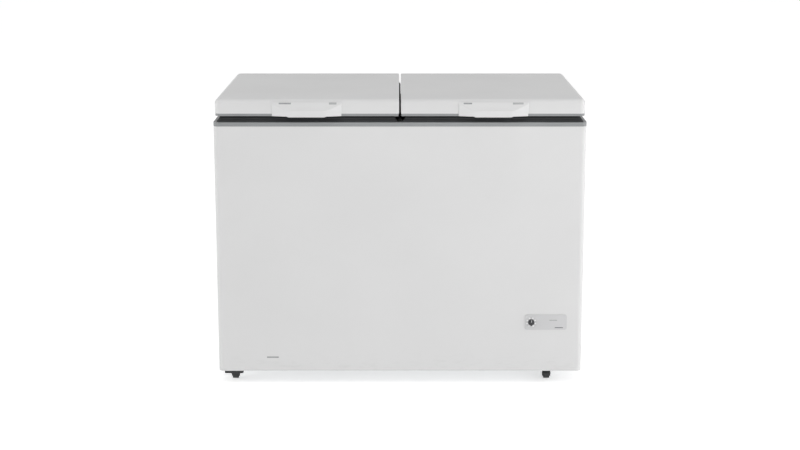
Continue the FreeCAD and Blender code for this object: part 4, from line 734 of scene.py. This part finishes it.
@dataclass
class Grip:
    """Moulded grip on a lid's rounded front edge: a slope over a lip with finger room behind it.

    Attributes:
        edge_r: radius of the lid's front edge.
        seat_deg: where the slope leaves that edge, as an angle from its foot.
        lip_height: height of the lip in the middle.
        end_reach: how far its ends stand out.
        end_run: length over which an end tapers.
        end_ease: length over which the taper is eased into the middle.
        end_round: radius of the end's upright edge.
        bow: how much lower the lip is in the middle.
        bow_half: half the length of the lower part.
        bow_run: length over which the lip drops.
        wall: thickness of the lip.
        cheek: solid length at each end.
        room_run: length over which the finger room opens beside a solid end.
        sill: height of the solid ends' underside over the lip's edge.
        scoop_half: half the length of the scoop.
        scoop_edge: length over which the scoop dies away.
        scoop_sag: depth of the scoop.
        rounds: size of the curves at the lip's top and foot and at both corners of the finger room.
        slope_steps: rows of points down the slope.
        seat_steps: rows of points up the lid's edge.
        span_points: points on the flat, the bow, the scoop's edge, the room's edge, the end and its round.
    """

    edge_r: float = 16.0
    seat_deg: float = 25.0
    lip_height: float = 21.0
    end_reach: float = 3.0
    end_run: float = 46.0
    end_ease: float = 16.0
    end_round: float = 2.8
    bow: float = 2.5
    bow_half: float = 55.5
    bow_run: float = 10.0
    wall: float = 3.0
    cheek: float = 22.0
    room_run: float = 3.0
    sill: float = 0.2
    scoop_half: float = 84.0
    scoop_edge: float = 34.0
    scoop_sag: float = 1.5
    rounds: tuple[float, ...] = (3.2, 2.5, 1.2, 2.0)
    slope_steps: int = 11
    seat_steps: int = 5
    span_points: tuple[int, ...] = (10, 9, 9, 7, 24, 7)

    def on_edge(self, degrees: float, top: float) -> np.ndarray:
        """Point on the edge of a lid whose top is at top, as y behind the face and z."""
        angle = math.radians(degrees)
        return np.array([self.edge_r * (1 - math.cos(angle)), top - self.edge_r * (1 - math.sin(angle))])

    def stations(self, half: float) -> np.ndarray:
        """Places along the grip, closer together where its shape changes.

        Args:
            half: half its length.

        Returns:
            Sorted distances from its middle.
        """
        flat, bow, scoop, room, end, rounding = self.span_points
        spans = [
            np.linspace(0.0, self.bow_half, flat),
            np.linspace(self.bow_half, self.bow_half + self.bow_run, bow),
            np.linspace(self.scoop_half - self.scoop_edge, self.scoop_half, scoop),
            half - self.cheek + np.linspace(-self.room_run / 2, self.room_run / 2, room),
            half - np.linspace(0.0, self.end_run + self.end_ease, end),
            half - self.end_round * (1 - np.cos(np.linspace(0.0, math.pi / 2, rounding))),
        ]
        right = np.unique(np.round(np.concatenate(spans), PLACE_DECIMALS))
        return np.concatenate([-right[:0:-1], right])

    def reach(self, from_end: np.ndarray, full: float) -> np.ndarray:
        """How far the grip stands out.

        It is a straight taper from each end, eased into the middle by a parabola, with a quarter circle
        taken off its upright end.

        Args:
            from_end: distances from the nearer end.
            full: reach in the middle.

        Returns:
            The reach at each distance.
        """
        slope = (full - self.end_reach) / self.end_run
        bend = np.clip(from_end - self.end_run + self.end_ease, 0.0, 2 * self.end_ease)
        over = np.clip(from_end - self.end_run - self.end_ease, 0.0, None)
        taper = self.end_reach + slope * (from_end - bend ** 2 / (4 * self.end_ease) - over)
        short = np.clip(1 - from_end / self.end_round, 0.0, 1.0)
        return taper - self.end_round * (1 - np.sqrt(1 - short * short))

    def shell(self, low: np.ndarray, high: np.ndarray, face: float, top: float) -> Shell:
        """Surface of the grip inside its solid's box.

        Each cross-section runs down the slope, round the lip, up into the finger room and back along the
        lid. The slope is a straight line, hollowed by s squared times (1 - s) for the scoop.

        Args:
            low: lowest corner of its solid.
            high: highest corner of its solid.
            face: y of the lid's front.
            top: z of the lid's top.

        Returns:
            The surface.
        """
        half, middle = (high[0] - low[0]) / 2, (high[0] + low[0]) / 2
        full, floor = face - low[1], low[2]
        lip_top = floor + self.lip_height
        along = self.stations(half)
        away = np.abs(along)
        reach = self.reach(half - away, full)
        base = floor + self.bow * smooth_step((away - self.bow_half) / self.bow_run)
        seat = self.on_edge(self.seat_deg, top)
        nose_top = seat[1] - (reach + seat[0]) / (full + seat[0]) * (seat[1] - lip_top)
        room = smooth_step((half - self.cheek - away) / self.room_run + 0.5)
        sill = base + self.sill
        front_room = sill + room * (lip_top - self.wall - sill)
        back_room = sill + room * (lip_top + self.wall - sill)
        scoop = self.scoop_sag * smooth_step((self.scoop_half - away) / self.scoop_edge)
        nose = stacked(-reach, nose_top)
        line = nose - seat
        inward = stacked(-line[:, 1], line[:, 0])
        inward /= np.linalg.norm(inward, axis=1, keepdims=True)
        parts = np.linspace(0.0, 1.0, self.slope_steps + 2)[1:-1]
        hollow = SCOOP_SCALE * scoop[:, None] * inward
        slope = [seat + s * line + s * s * (1 - s) * hollow for s in parts]
        lip = [nose, stacked(-reach, base), stacked(self.wall - reach, base)]
        inside = [stacked(self.wall - reach, front_room), stacked(0.0, back_room)]
        head = np.broadcast_to(seat, nose.shape)
        climb = np.linspace(0.0, self.seat_deg, self.seat_steps + 1)[:-1]
        seated = [np.broadcast_to(self.on_edge(angle, top), nose.shape) for angle in climb]
        corners = [head, *slope, *lip, *inside, *seated]
        radii = [0.0] * (1 + len(slope)) + [*self.rounds] + [0.0] * (1 + len(seated))
        profile = rounded_profile(corners, radii)
        points = stacked((middle + along)[:, None], face + profile[..., 0], profile[..., 1])
        return grid_shell(points, wrap_rows=False, capped=True)


@dataclass
class Seal:
    """Pleated seal under a lid, carried round the lid's outline.

    Attributes:
        foot: how far the foot is drawn in from the lid's edge.
        neck: how far the neck is drawn in.
        inner: how far the inner face is drawn in.
        pleat: depth of a pleat.
        pleats: number of pleats up the outer face.
        lip: points of the foot's rounded edge: how far in from the foot and how high.
        lip_height: where the outer face starts.
        bulge: how far the magnet's pocket stands out inside.
        outer_r: corner radius of the lid on its outer side.
        gap_r: corner radius of the lid beside the gap.
        steps: rows of points up the outer face.
        inner_steps: rows of points down the inner face.
    """

    foot: float = 5.0
    neck: float = 20.0
    inner: float = 42.0
    pleat: float = 0.9
    pleats: int = 2
    lip: tuple[Pair, ...] = ((1.2, 0.0), (0.35, 0.3), (0.0, 1.0))
    lip_height: float = 1.8
    bulge: float = 1.6
    outer_r: float = 20.0
    gap_r: float = 4.0
    steps: int = 24
    inner_steps: int = 9

    def shell(
        self, lid_low: np.ndarray, lid_high: np.ndarray, floor: float, top: float, gap_on_right: bool
    ) -> Shell:
        """Surface of the seal.

        The outer face slants from foot to neck with a sine wave for the pleats. The inner face is bowed
        like a half sine by the magnet's pocket.

        Args:
            lid_low: lowest corner of the lid's skin.
            lid_high: highest corner of the lid's skin.
            floor: height of the seal's foot.
            top: height of the lid's frame above it.
            gap_on_right: True where the other lid is on its right.

        Returns:
            The surface.
        """
        rise = np.linspace(0.0, 1.0, self.steps)
        wave = self.pleat * np.sin(2 * math.pi * self.pleats * rise) * np.sin(math.pi * rise)
        lip = np.array(self.lip) + (self.foot, 0.0)
        height = top - floor
        outer = stacked(
            self.foot + (self.neck - self.foot) * rise - wave,
            self.lip_height + (height - self.lip_height) * rise)
        fall = np.linspace(1.0, 0.0, self.inner_steps)
        inside = stacked(self.inner - self.bulge * np.sin(math.pi * fall), height * fall)
        profile = np.concatenate([lip, outer, inside])
        left_r, right_r = (self.outer_r, self.gap_r) if gap_on_right else (self.gap_r, self.outer_r)
        radii = (left_r, right_r, right_r, left_r)
        loops = rounded_loops(tuple(lid_low[:2]), tuple(lid_high[:2]), radii, profile[:, 0])
        points = stacked(loops[..., 0], loops[..., 1], (floor + profile[:, 1])[:, None])
        return grid_shell(points, wrap_rows=True, capped=False)


@dataclass
class Spring:
    """Balance spring on a hinge pin.

    Attributes:
        coil_r: radius to the middle of the wire.
        wire_r: radius of the wire.
        pitch: distance between turns.
        turns: number of turns.
        leg: length of each straight leg.
        fixed_leg: distance of the fixed leg to the right of the hinge's middle.
        ease: how far the helix lags in its first half and leads in its second, in turns.
        steps: points in a turn.
        leg_steps: points in a leg.
    """

    coil_r: float = 8.0
    wire_r: float = 1.75
    pitch: float = 4.2
    turns: int = 6
    leg: float = 36.0
    fixed_leg: float = 22.85
    ease: float = 0.04
    steps: int = 36
    leg_steps: int = 12

    def path(self, hinge_x: float, pin_y: float, pin_z: float) -> np.ndarray:
        """Centre line: a leg from below, a helix about the pin, and a leg upwards.

        Along the helix x falls by one pitch a turn, a little less near both ends.

        Args:
            hinge_x: middle of the hinge.
            pin_y: y of the pin.
            pin_z: z of the pin.

        Returns:
            Points of the centre line.
        """
        start = hinge_x + self.fixed_leg
        turn = np.linspace(0.0, self.turns, self.turns * self.steps + 1)
        eased = turn - np.sin(2 * math.pi * turn / self.turns) * self.ease
        angle = 2 * math.pi * turn
        coil = stacked(
            start - self.pitch * eased, pin_y - self.coil_r * np.cos(angle),
            pin_z + self.coil_r * np.sin(angle))
        run = stacked(0.0, 0.0, np.linspace(self.leg, 0.0, self.leg_steps, endpoint=False))
        return np.concatenate([coil[0] - run, coil, coil[-1] + run[::-1]])


@dataclass
class GapShadeStrip:
    """Dark strip on the left lid, set into the gap between the lids where only shade falls: painted shade.

    Attributes:
        top_below: distance of its top below the lid's top.
        height: its height.
        reach: how far it stands into the gap.
        root: how far its back goes into the lid's skin.
        end_inset: distance of its ends from the lid's front and back.
        tip: size of its ends as a share of the rest.
        tip_run: where it has its full size, as a multiple of end_inset.
        steps: points round its bulb.
    """

    top_below: float = 31.0
    height: float = 15.0
    reach: float = 4.8
    root: float = 0.4
    end_inset: float = 22.0
    tip: float = 0.6
    tip_run: float = 1.2
    steps: int = 16

    def shell(self, low: np.ndarray, high: np.ndarray) -> Shell:
        """Surface of the strip: half an ellipse carried along the lid's inner edge, drawn in at both ends.

        Args:
            low: lowest corner of the lid's skin.
            high: highest corner of the lid's skin.

        Returns:
            The surface.
        """
        turn = np.linspace(-math.pi / 2, math.pi / 2, self.steps)
        half = self.height / 2
        edge, middle = high[0], high[2] - self.top_below - half
        bulb = stacked(self.reach * np.cos(turn), half * np.sin(turn))
        profile = np.concatenate([bulb, [[-self.root, half], [-self.root, -half]]])
        ends = np.array([1.0, self.tip_run, -self.tip_run, -1.0])
        along = np.array([low[1], low[1], high[1], high[1]]) + self.end_inset * ends
        shrink = np.array([self.tip, 1.0, 1.0, self.tip])[:, None]
        points = stacked(edge + shrink * profile[:, 0], along[:, None], middle + shrink * profile[:, 1])
        return grid_shell(points, wrap_rows=False, capped=True)

    def build(self, shop: Workshop) -> None:
        """Build the strip of painted shade on the left lid."""
        shell = self.shell(*box_mm("left_lid_shell"))
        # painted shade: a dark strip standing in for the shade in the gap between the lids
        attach(shop.piece("left_lid_painted_gap_shade", shell, "dark_rubber"), "left_lid")


@dataclass
class Lid:
    """One lid with its grip, seal, springs and badges.

    Attributes:
        side: left or right.
        badges: blank plates on its front.
        grip: the grip.
        seal: the seal.
        spring: the spring on each of its hinges.
        hinge_spread: distance of a hinge from the lid's middle.
        badge_place: how far down the grip's slope the badges are, as a share.
    """

    side: str
    badges: list[Badge]
    grip: Grip
    seal: Seal
    spring: Spring
    hinge_spread: float = 190.0
    badge_place: float = 0.2

    @property
    def body(self) -> str:
        """Name of the moving body."""
        return f"{self.side}_lid"

    def build(self, shop: Workshop, pin: Pair) -> None:
        """Build the lid's grip, badges and seal on its body, and its springs on no body.

        Args:
            shop: where pieces are made.
            pin: y and z of the hinge pins.
        """
        low, high = box_mm(f"{self.side}_lid_shell")
        self.build_grip(shop, low[1], high[2])
        self.build_seal(shop, low, high)
        self.build_springs(shop, (low[0] + high[0]) / 2, pin)

    def build_grip(self, shop: Workshop, face: float, top: float) -> None:
        """Build the grip in place of its plain solid, with the badges on its slope.

        Args:
            shop: where pieces are made.
            face: y of the lid's front.
            top: z of the lid's top.
        """
        node = f"{self.side}_lid_handle"
        low, high = box_mm(node)
        shell = self.grip.shell(low, high, face, top)
        made = shop.piece(f"{self.side}_lid_grip", shell, "white_plastic")
        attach(made, self.body)
        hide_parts(node)
        seat = self.grip.on_edge(self.grip.seat_deg, top)
        run = np.array([low[1] - face, low[2] + self.grip.lip_height]) - seat
        spot = seat + self.badge_place * run
        for number, badge in enumerate(self.badges, 1):
            shell = badge.shell(face + spot[0], spot[1], math.atan2(-run[0], -run[1]))
            plate = shop.piece(f"{self.side}_lid_badge_{number}", shell, "white_plastic", badge.finish)
            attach(plate, self.body)

    def build_seal(self, shop: Workshop, low: np.ndarray, high: np.ndarray) -> None:
        """Build the pleated seal in place of its plain solid.

        Args:
            shop: where pieces are made.
            low: lowest corner of the lid's skin.
            high: highest corner of the lid's skin.
        """
        node = f"{self.side}_lid_gasket"
        floor = box_mm(node)[0][2]
        top = box_mm(f"{self.side}_lid_frame")[0][2]
        shell = self.seal.shell(low, high, floor, top, gap_on_right=self.side == "left")
        made = shop.piece(f"{self.side}_lid_seal", shell, "dark_rubber")
        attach(made, self.body)
        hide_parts(node)

    def build_springs(self, shop: Workshop, middle: float, pin: Pair) -> None:
        """Build both springs at the hinge pins, in place of their plain solid; they ride on no body.

        Args:
            shop: where pieces are made.
            middle: x of the lid's middle.
            pin: y and z of the hinge pins.
        """
        for place, x in (("left", middle - self.hinge_spread), ("right", middle + self.hinge_spread)):
            path = self.spring.path(x, *pin)
            shell = tube_shell(path, self.spring.wire_r, (1.0, 0.0, 0.0))
            made = shop.piece(f"{self.side}_lid_spring_{place}", shell, "plated_steel")
            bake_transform(made)
            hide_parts(f"{self.side}_lid_springs")


@dataclass
class ControlPanel:
    """Knob, dial and printed bars on the lower right of the front.

    Attributes:
        flutes: grooves round the knob's skirt.
        flute_points: points round one groove.
        flute_depth: depth of a groove as a share of the radius.
        rim: width of the rim that has the grooves.
        bore: radius of the flat that closes the skirt.
        skirt: the skirt's profile: how far in from the rim and how high.
        grip_width: width of the grip bar.
        grip_corner: its corner radius.
        grip_root: how far it goes into the skirt.
        grip_inset: distance of its ends from the rim.
        grip_edge: its upper edge: how far in and how far below the knob's top.
        pointer_at: middle of the pointer as a share of the radius.
        pointer_size: its width, and its length as a share of the radius.
        pointer_trim: its edges.
        dial_gap: distance between the knob and the dial.
        ticks: number of marks round the dial.
        tick_from: inner radius of a mark.
        tick_to: outer radius of a mark.
        tick_width: width of the narrowest and the widest mark.
        tick_height: how far a mark stands out.
        sweep_deg: angle from the first mark to the last.
        bars: printed bars, each with its name, place, size and finish.
        bar_trim: their edges.
    """

    flutes: int = 24
    flute_points: int = 8
    flute_depth: float = 0.035
    rim: float = 0.8
    bore: float = 0.3
    skirt: tuple[Pair, ...] = ((0.4, 0.0), (0.0, 0.4), (0.0, 2.6), (0.3, 3.3), (1.0, 3.8), (2.2, 4.0))
    grip_width: float = 6.0
    grip_corner: float = 2.4
    grip_root: float = 0.8
    grip_inset: float = 0.5
    grip_edge: tuple[Pair, ...] = ((0.1, 1.6), (0.35, 0.7), (0.8, 0.2), (1.5, 0.0))
    pointer_at: float = 0.55
    pointer_size: Pair = (1.2, 0.7)
    pointer_trim: Trim = Trim(0.5, 0.15, 0.05)
    dial_gap: float = 0.4
    ticks: int = 8
    tick_from: float = 11.8
    tick_to: float = 16.7
    tick_width: Pair = (4.2, 5.4)
    tick_height: float = 0.2
    sweep_deg: float = 300.0
    bars: tuple[tuple[str, Pair, Pair, Finish], ...] = (
        ("upper_panel_bar", (503.5, 218.0), (25.0, 3.0), GREY_PRINT),
        ("lower_panel_bar", (522.5, 193.0), (27.0, 3.0), DARK_PRINT))
    bar_trim: Trim = Trim(0.8, 0.2, 0.08)

    def knob_shell(self, low: np.ndarray, high: np.ndarray) -> Shell:
        """Surface of the knob.

        The skirt is a profile turned about the shaft, its radius rippled by a cosine for the flutes. The
        grip bar is a stack of rounded rectangles.

        Args:
            low: lowest corner of its solid.
            high: highest corner of its solid.

        Returns:
            The surface.
        """
        x, z = (low[0] + high[0]) / 2, (low[2] + high[2]) / 2
        base, radius, height = high[1], (high[0] - low[0]) / 2, high[1] - low[1]
        into, rise = np.array(self.skirt).T
        size = np.array([self.bore, *(radius - into), self.bore])[:, None]
        level = np.array([0.0, *rise, rise[-1]])[:, None]
        turn = np.linspace(0.0, 2 * math.pi, self.flute_points * self.flutes, endpoint=False)
        ripple = 1 - self.flute_depth * (0.5 + 0.5 * np.cos(self.flutes * turn))
        size = np.where(size > radius - self.rim, size * ripple, size)
        disc = stacked(x + size * np.cos(turn), base - level, z + size * np.sin(turn))
        levels = [(0.0, rise[-1] - self.grip_root)]
        levels += [(inset, height - below) for inset, below in self.grip_edge]
        length = 2 * (radius - self.grip_inset)
        bar = front_stack((x, z), (self.grip_width, length), self.grip_corner, np.array(levels), base)
        return joined([grid_shell(disc, wrap_rows=False, capped=True), bar])

    def ticks_shell(self, middle: Pair, face_y: float) -> Shell:
        """Raised marks round the dial: one small block turned to each angle.

        Args:
            middle: x and z of the dial.
            face_y: y of the dial's face.

        Returns:
            The marks.
        """
        angle = np.radians(np.linspace(-self.sweep_deg / 2, self.sweep_deg / 2, self.ticks))
        width = np.linspace(*self.tick_width, self.ticks) / 2
        across = np.array([-1, 1, 1, -1, -1, 1, 1, -1])[None] * width[:, None]
        along = np.array([self.tick_from, self.tick_from, self.tick_to, self.tick_to] * 2)[None]
        out = np.array([0.0] * 4 + [self.tick_height] * 4)[None]
        x = middle[0] + along * np.sin(angle)[:, None] + across * np.cos(angle)[:, None]
        z = middle[1] + along * np.cos(angle)[:, None] - across * np.sin(angle)[:, None]
        points = stacked(x, face_y - out, z)
        return joined([Shell(mark, BLOCK_FACES) for mark in points])

    def build(self, shop: Workshop) -> None:
        """Build the knob on its own body, and the dial's marks and bars on the cabinet."""
        low, high = box_mm("thermostat_knob")
        knob = shop.piece("thermostat_knob_fluted", self.knob_shell(low, high), "knob_plastic")
        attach(knob, "thermostat_control")
        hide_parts("thermostat_knob")
        x, z = (low[0] + high[0]) / 2, (low[2] + high[2]) / 2
        radius = (high[2] - low[2]) / 2
        size = (self.pointer_size[0], self.pointer_size[1] * radius)
        line = front_plate((x, z + self.pointer_at * radius), size, low[1], self.pointer_trim)
        pointer = shop.piece("thermostat_knob_pointer", line, "white_plastic", WHITE_PRINT)
        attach(pointer, "thermostat_control")
        marks = self.ticks_shell((x, z), high[1] + self.dial_gap)
        ticks = shop.piece("dial_marks", marks, "white_plastic", WHITE_PRINT)
        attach(ticks, "cabinet")
        face = box_mm("control_bezel")[0][1]
        for name, place, size, finish in self.bars:
            bar = shop.piece(name, front_plate(place, size, face, self.bar_trim), "panel_plastic", finish)
            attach(bar, "cabinet")


@dataclass
class Cabinet:
    """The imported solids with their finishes, and the blank plate low on the front.

    Attributes:
        badge: the plate.
        badge_z: height of its middle.
        finish_by_node: solids whose finish differs from their slot's.
    """

    badge: Badge
    badge_z: float
    finish_by_node: dict[str, Finish]

    def build(self, shop: Workshop, frame: dict) -> None:
        """Dress every solid and add the plate.

        Args:
            shop: where finishes and pieces are made.
            frame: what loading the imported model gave.
        """
        for part in frame["record"]["subparts"]:
            node = part["node"]
            finish = self.finish_by_node.get(node, FINISHES[part["material_slot"]])
            shop.dress(frame["nodes"][node], finish)
        face = box_mm("outer_casing")[0][1]
        shell = self.badge.shell(face, self.badge_z, 0.0)
        plate = shop.piece("front_badge", shell, "panel_plastic", self.badge.finish)
        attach(plate, "cabinet")


@dataclass
class Lamp:
    """One soft studio lamp.

    Attributes:
        name: its name.
        place: where it stands, in metres.
        aim: the point it faces, in metres.
        size: width and height of its cloth, in metres.
        watts: its power.
    """

    name: str
    place: Point
    aim: Point
    size: Pair
    watts: float

    def build(self) -> None:
        """Hang the lamp; gloss shows the white room round it, not its cloth."""
        light = bpy.data.lights.new(self.name, "AREA")
        light.shape = "RECTANGLE"
        light.size, light.size_y = self.size
        light.energy = self.watts
        lamp = bpy.data.objects.new(self.name, light)
        lamp.visible_glossy = False
        bpy.context.scene.collection.objects.link(lamp)
        lamp.location = self.place
        way = np.array(self.aim) - np.array(self.place)
        lamp.rotation_euler = (
            math.atan2(math.hypot(way[0], way[1]), -way[2]), 0.0, math.atan2(-way[0], way[1]))
        LOG.info("hung %s", self.name)


@dataclass
class Studio:
    """White floor and backdrop, soft lamps and the camera.

    Attributes:
        lamps: the lamps.
        sky: strength of the light from all round.
        floor_half: half the floor's side, in metres.
        floor_colour: the floor's own colour.
        floor_lift: light that the floor shows beside what falls on it, near the object and far from it; the
            lower value near the object is painted shade that deepens the object's shadow.
        lift_span: distances between which that light rises, in metres.
        camera_place: where the camera stands, in metres.
        camera_pitch_deg: how far it looks down.
        focal_px: focal length in pixels of the picture.
        picture_px: width of the picture in pixels.
    """

    lamps: list[Lamp]
    sky: float = 0.42
    floor_half: float = 40.0
    floor_colour: str = "#FAFAFA"
    floor_lift: Pair = (0.5, 0.6)
    lift_span: Pair = (1.5, 6.0)
    camera_place: Point = (0.0, -5.422, 1.608)
    camera_pitch_deg: float = 11.97
    focal_px: float = 1590.0
    picture_px: float = 800.0

    def build(self) -> None:
        """Build the whole studio."""
        bpy.context.scene.view_settings.view_transform = "Standard"
        self.build_world()
        self.build_floor()
        for lamp in self.lamps:
            lamp.build()
        self.build_camera()

    def seen(self, tree: Tree) -> Socket:
        """Socket that is 1 for what the camera sees, also by reflection or through glass."""
        path = add(tree, "ShaderNodeLightPath")
        straight = add(tree, "ShaderNodeMath", {"operation": "ADD"}, {
            0: path.outputs["Is Camera Ray"], 1: path.outputs["Is Glossy Ray"]}).outputs["Value"]
        return add(tree, "ShaderNodeMath", {"operation": "ADD", "use_clamp": True}, {
            0: straight, 1: path.outputs["Is Transmission Ray"]}).outputs["Value"]

    def build_world(self) -> None:
        """Light the scene from all round, and show plain white behind it."""
        world = bpy.data.worlds.new("white_cyclorama")
        bpy.context.scene.world = world
        world.use_nodes = True
        tree = world.node_tree
        tree.nodes.clear()
        soft = add(tree, "ShaderNodeBackground", {}, {"Color": linear(WHITE), "Strength": self.sky})
        shown = add(tree, "ShaderNodeBackground", {}, {"Color": linear(WHITE), "Strength": 1.0})
        both = add(tree, "ShaderNodeMixShader", {}, {
            0: self.seen(tree), 1: soft.outputs[0], 2: shown.outputs[0]})
        add(tree, "ShaderNodeOutputWorld", {}, {"Surface": both.outputs[0]})

    def build_floor(self) -> None:
        """Lay a white floor that keeps the object's shadow; its glow is weaker near the object, which is
        painted shade that makes that shadow darker.
        """
        material = bpy.data.materials.new("painted white floor")
        material.use_nodes = True
        tree = material.node_tree
        tree.nodes.clear()
        paint = add(tree, "ShaderNodeBsdfDiffuse", {}, {"Color": linear(self.floor_colour)})
        place = add(tree, "ShaderNodeTexCoord").outputs["Object"]
        far = add(tree, "ShaderNodeVectorMath", {"operation": "LENGTH"}, {0: place}).outputs["Value"]
        # painted shade: less glow near the object, so the floor and the shadow on it read darker there
        rise = ranged(tree, far, self.lift_span, self.floor_lift)
        lift = add(tree, "ShaderNodeMath", {"operation": "MULTIPLY"}, {0: self.seen(tree), 1: rise})
        glow = add(tree, "ShaderNodeEmission", {}, {
            "Color": linear(WHITE), "Strength": lift.outputs["Value"]})
        both = add(tree, "ShaderNodeAddShader", {}, {0: paint.outputs[0], 1: glow.outputs[0]})
        add(tree, "ShaderNodeOutputMaterial", {}, {"Surface": both.outputs[0]})
        reach = self.floor_half
        mesh = bpy.data.meshes.new("floor")
        corners = [(-reach, -reach, 0.0), (reach, -reach, 0.0), (reach, reach, 0.0), (-reach, reach, 0.0)]
        mesh.from_pydata(corners, [], [(0, 1, 2, 3)])
        mesh.materials.append(material)
        floor = bpy.data.objects.new("floor", mesh)
        bpy.context.scene.collection.objects.link(floor)

    def build_camera(self) -> None:
        """Stand the camera where the picture was taken from."""
        data = bpy.data.cameras.new("picture_camera")
        data.sensor_width = SENSOR_MM
        data.lens = self.focal_px / self.picture_px * data.sensor_width
        camera = bpy.data.objects.new("picture_camera", data)
        bpy.context.scene.collection.objects.link(camera)
        camera.location = self.camera_place
        camera.rotation_euler = (math.radians(90.0 - self.camera_pitch_deg), 0.0, 0.0)
        bpy.context.scene.camera = camera


# Blank plates, low on the front and on each lid
FRONT_BADGE = Badge(-420.0, (39.0, 4.5), BADGE_FOIL, proud=0.4)
FRONT_BADGE_Z = 91.0
LID_BADGES = {
    "left": [Badge(-368.0, (39.0, 5.0), BADGE_FOIL), Badge(-215.0, (24.0, 7.0), PALE_PRINT, proud=0.3)],
    "right": [Badge(217.0, (27.0, 5.0), BADGE_FOIL), Badge(378.0, (34.0, 6.5), PALE_PRINT, proud=0.3)],
}

# Lamps, in metres and watts, all facing the middle of the freezer
AIM = (0.0, 0.0, 0.55)
TOP_CLOTH = (4.0, 4.0)
FRONT_CLOTH = (5.6, 2.6)
SIDE_CLOTH = (3.4, 2.4)
LAMPS = [
    Lamp("top_lamp", (0.0, -1.6, 4.6), AIM, TOP_CLOTH, 31.0),
    Lamp("front_lamp", (3.2, -5.2, 1.5), AIM, FRONT_CLOTH, 119.0),
    Lamp("left_lamp", (-4.8, -0.8, 1.4), AIM, SIDE_CLOTH, 84.0),
    Lamp("right_lamp", (4.8, -0.8, 1.4), AIM, SIDE_CLOTH, 66.0),
    Lamp("back_left_lamp", (-4.6, 4.4, 1.4), AIM, SIDE_CLOTH, 45.0),
    Lamp("back_right_lamp", (4.6, 4.4, 1.4), AIM, SIDE_CLOTH, 45.0),
]


def main() -> None:
    """Load the solids, then build each sub-assembly and the studio."""
    logging.basicConfig(level=logging.INFO, format="%(message)s")
    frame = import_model()
    shop = Workshop()
    hinge = next(joint for joint in frame["joints"] if joint["name"] == "left_lid_hinge")
    pin = (hinge["pos_m"][1] / MM, hinge["pos_m"][2] / MM)
    Cabinet(FRONT_BADGE, FRONT_BADGE_Z, {"evaporator_coil": DRAWN_ALUMINIUM}).build(shop, frame)
    for side, badges in LID_BADGES.items():
        Lid(side, badges, Grip(), Seal(), Spring()).build(shop, pin)
    # painted shade in the gap between the lids
    GapShadeStrip().build(shop)
    ControlPanel().build(shop)
    Studio(LAMPS).build()


if __name__ == "__main__":
    main()
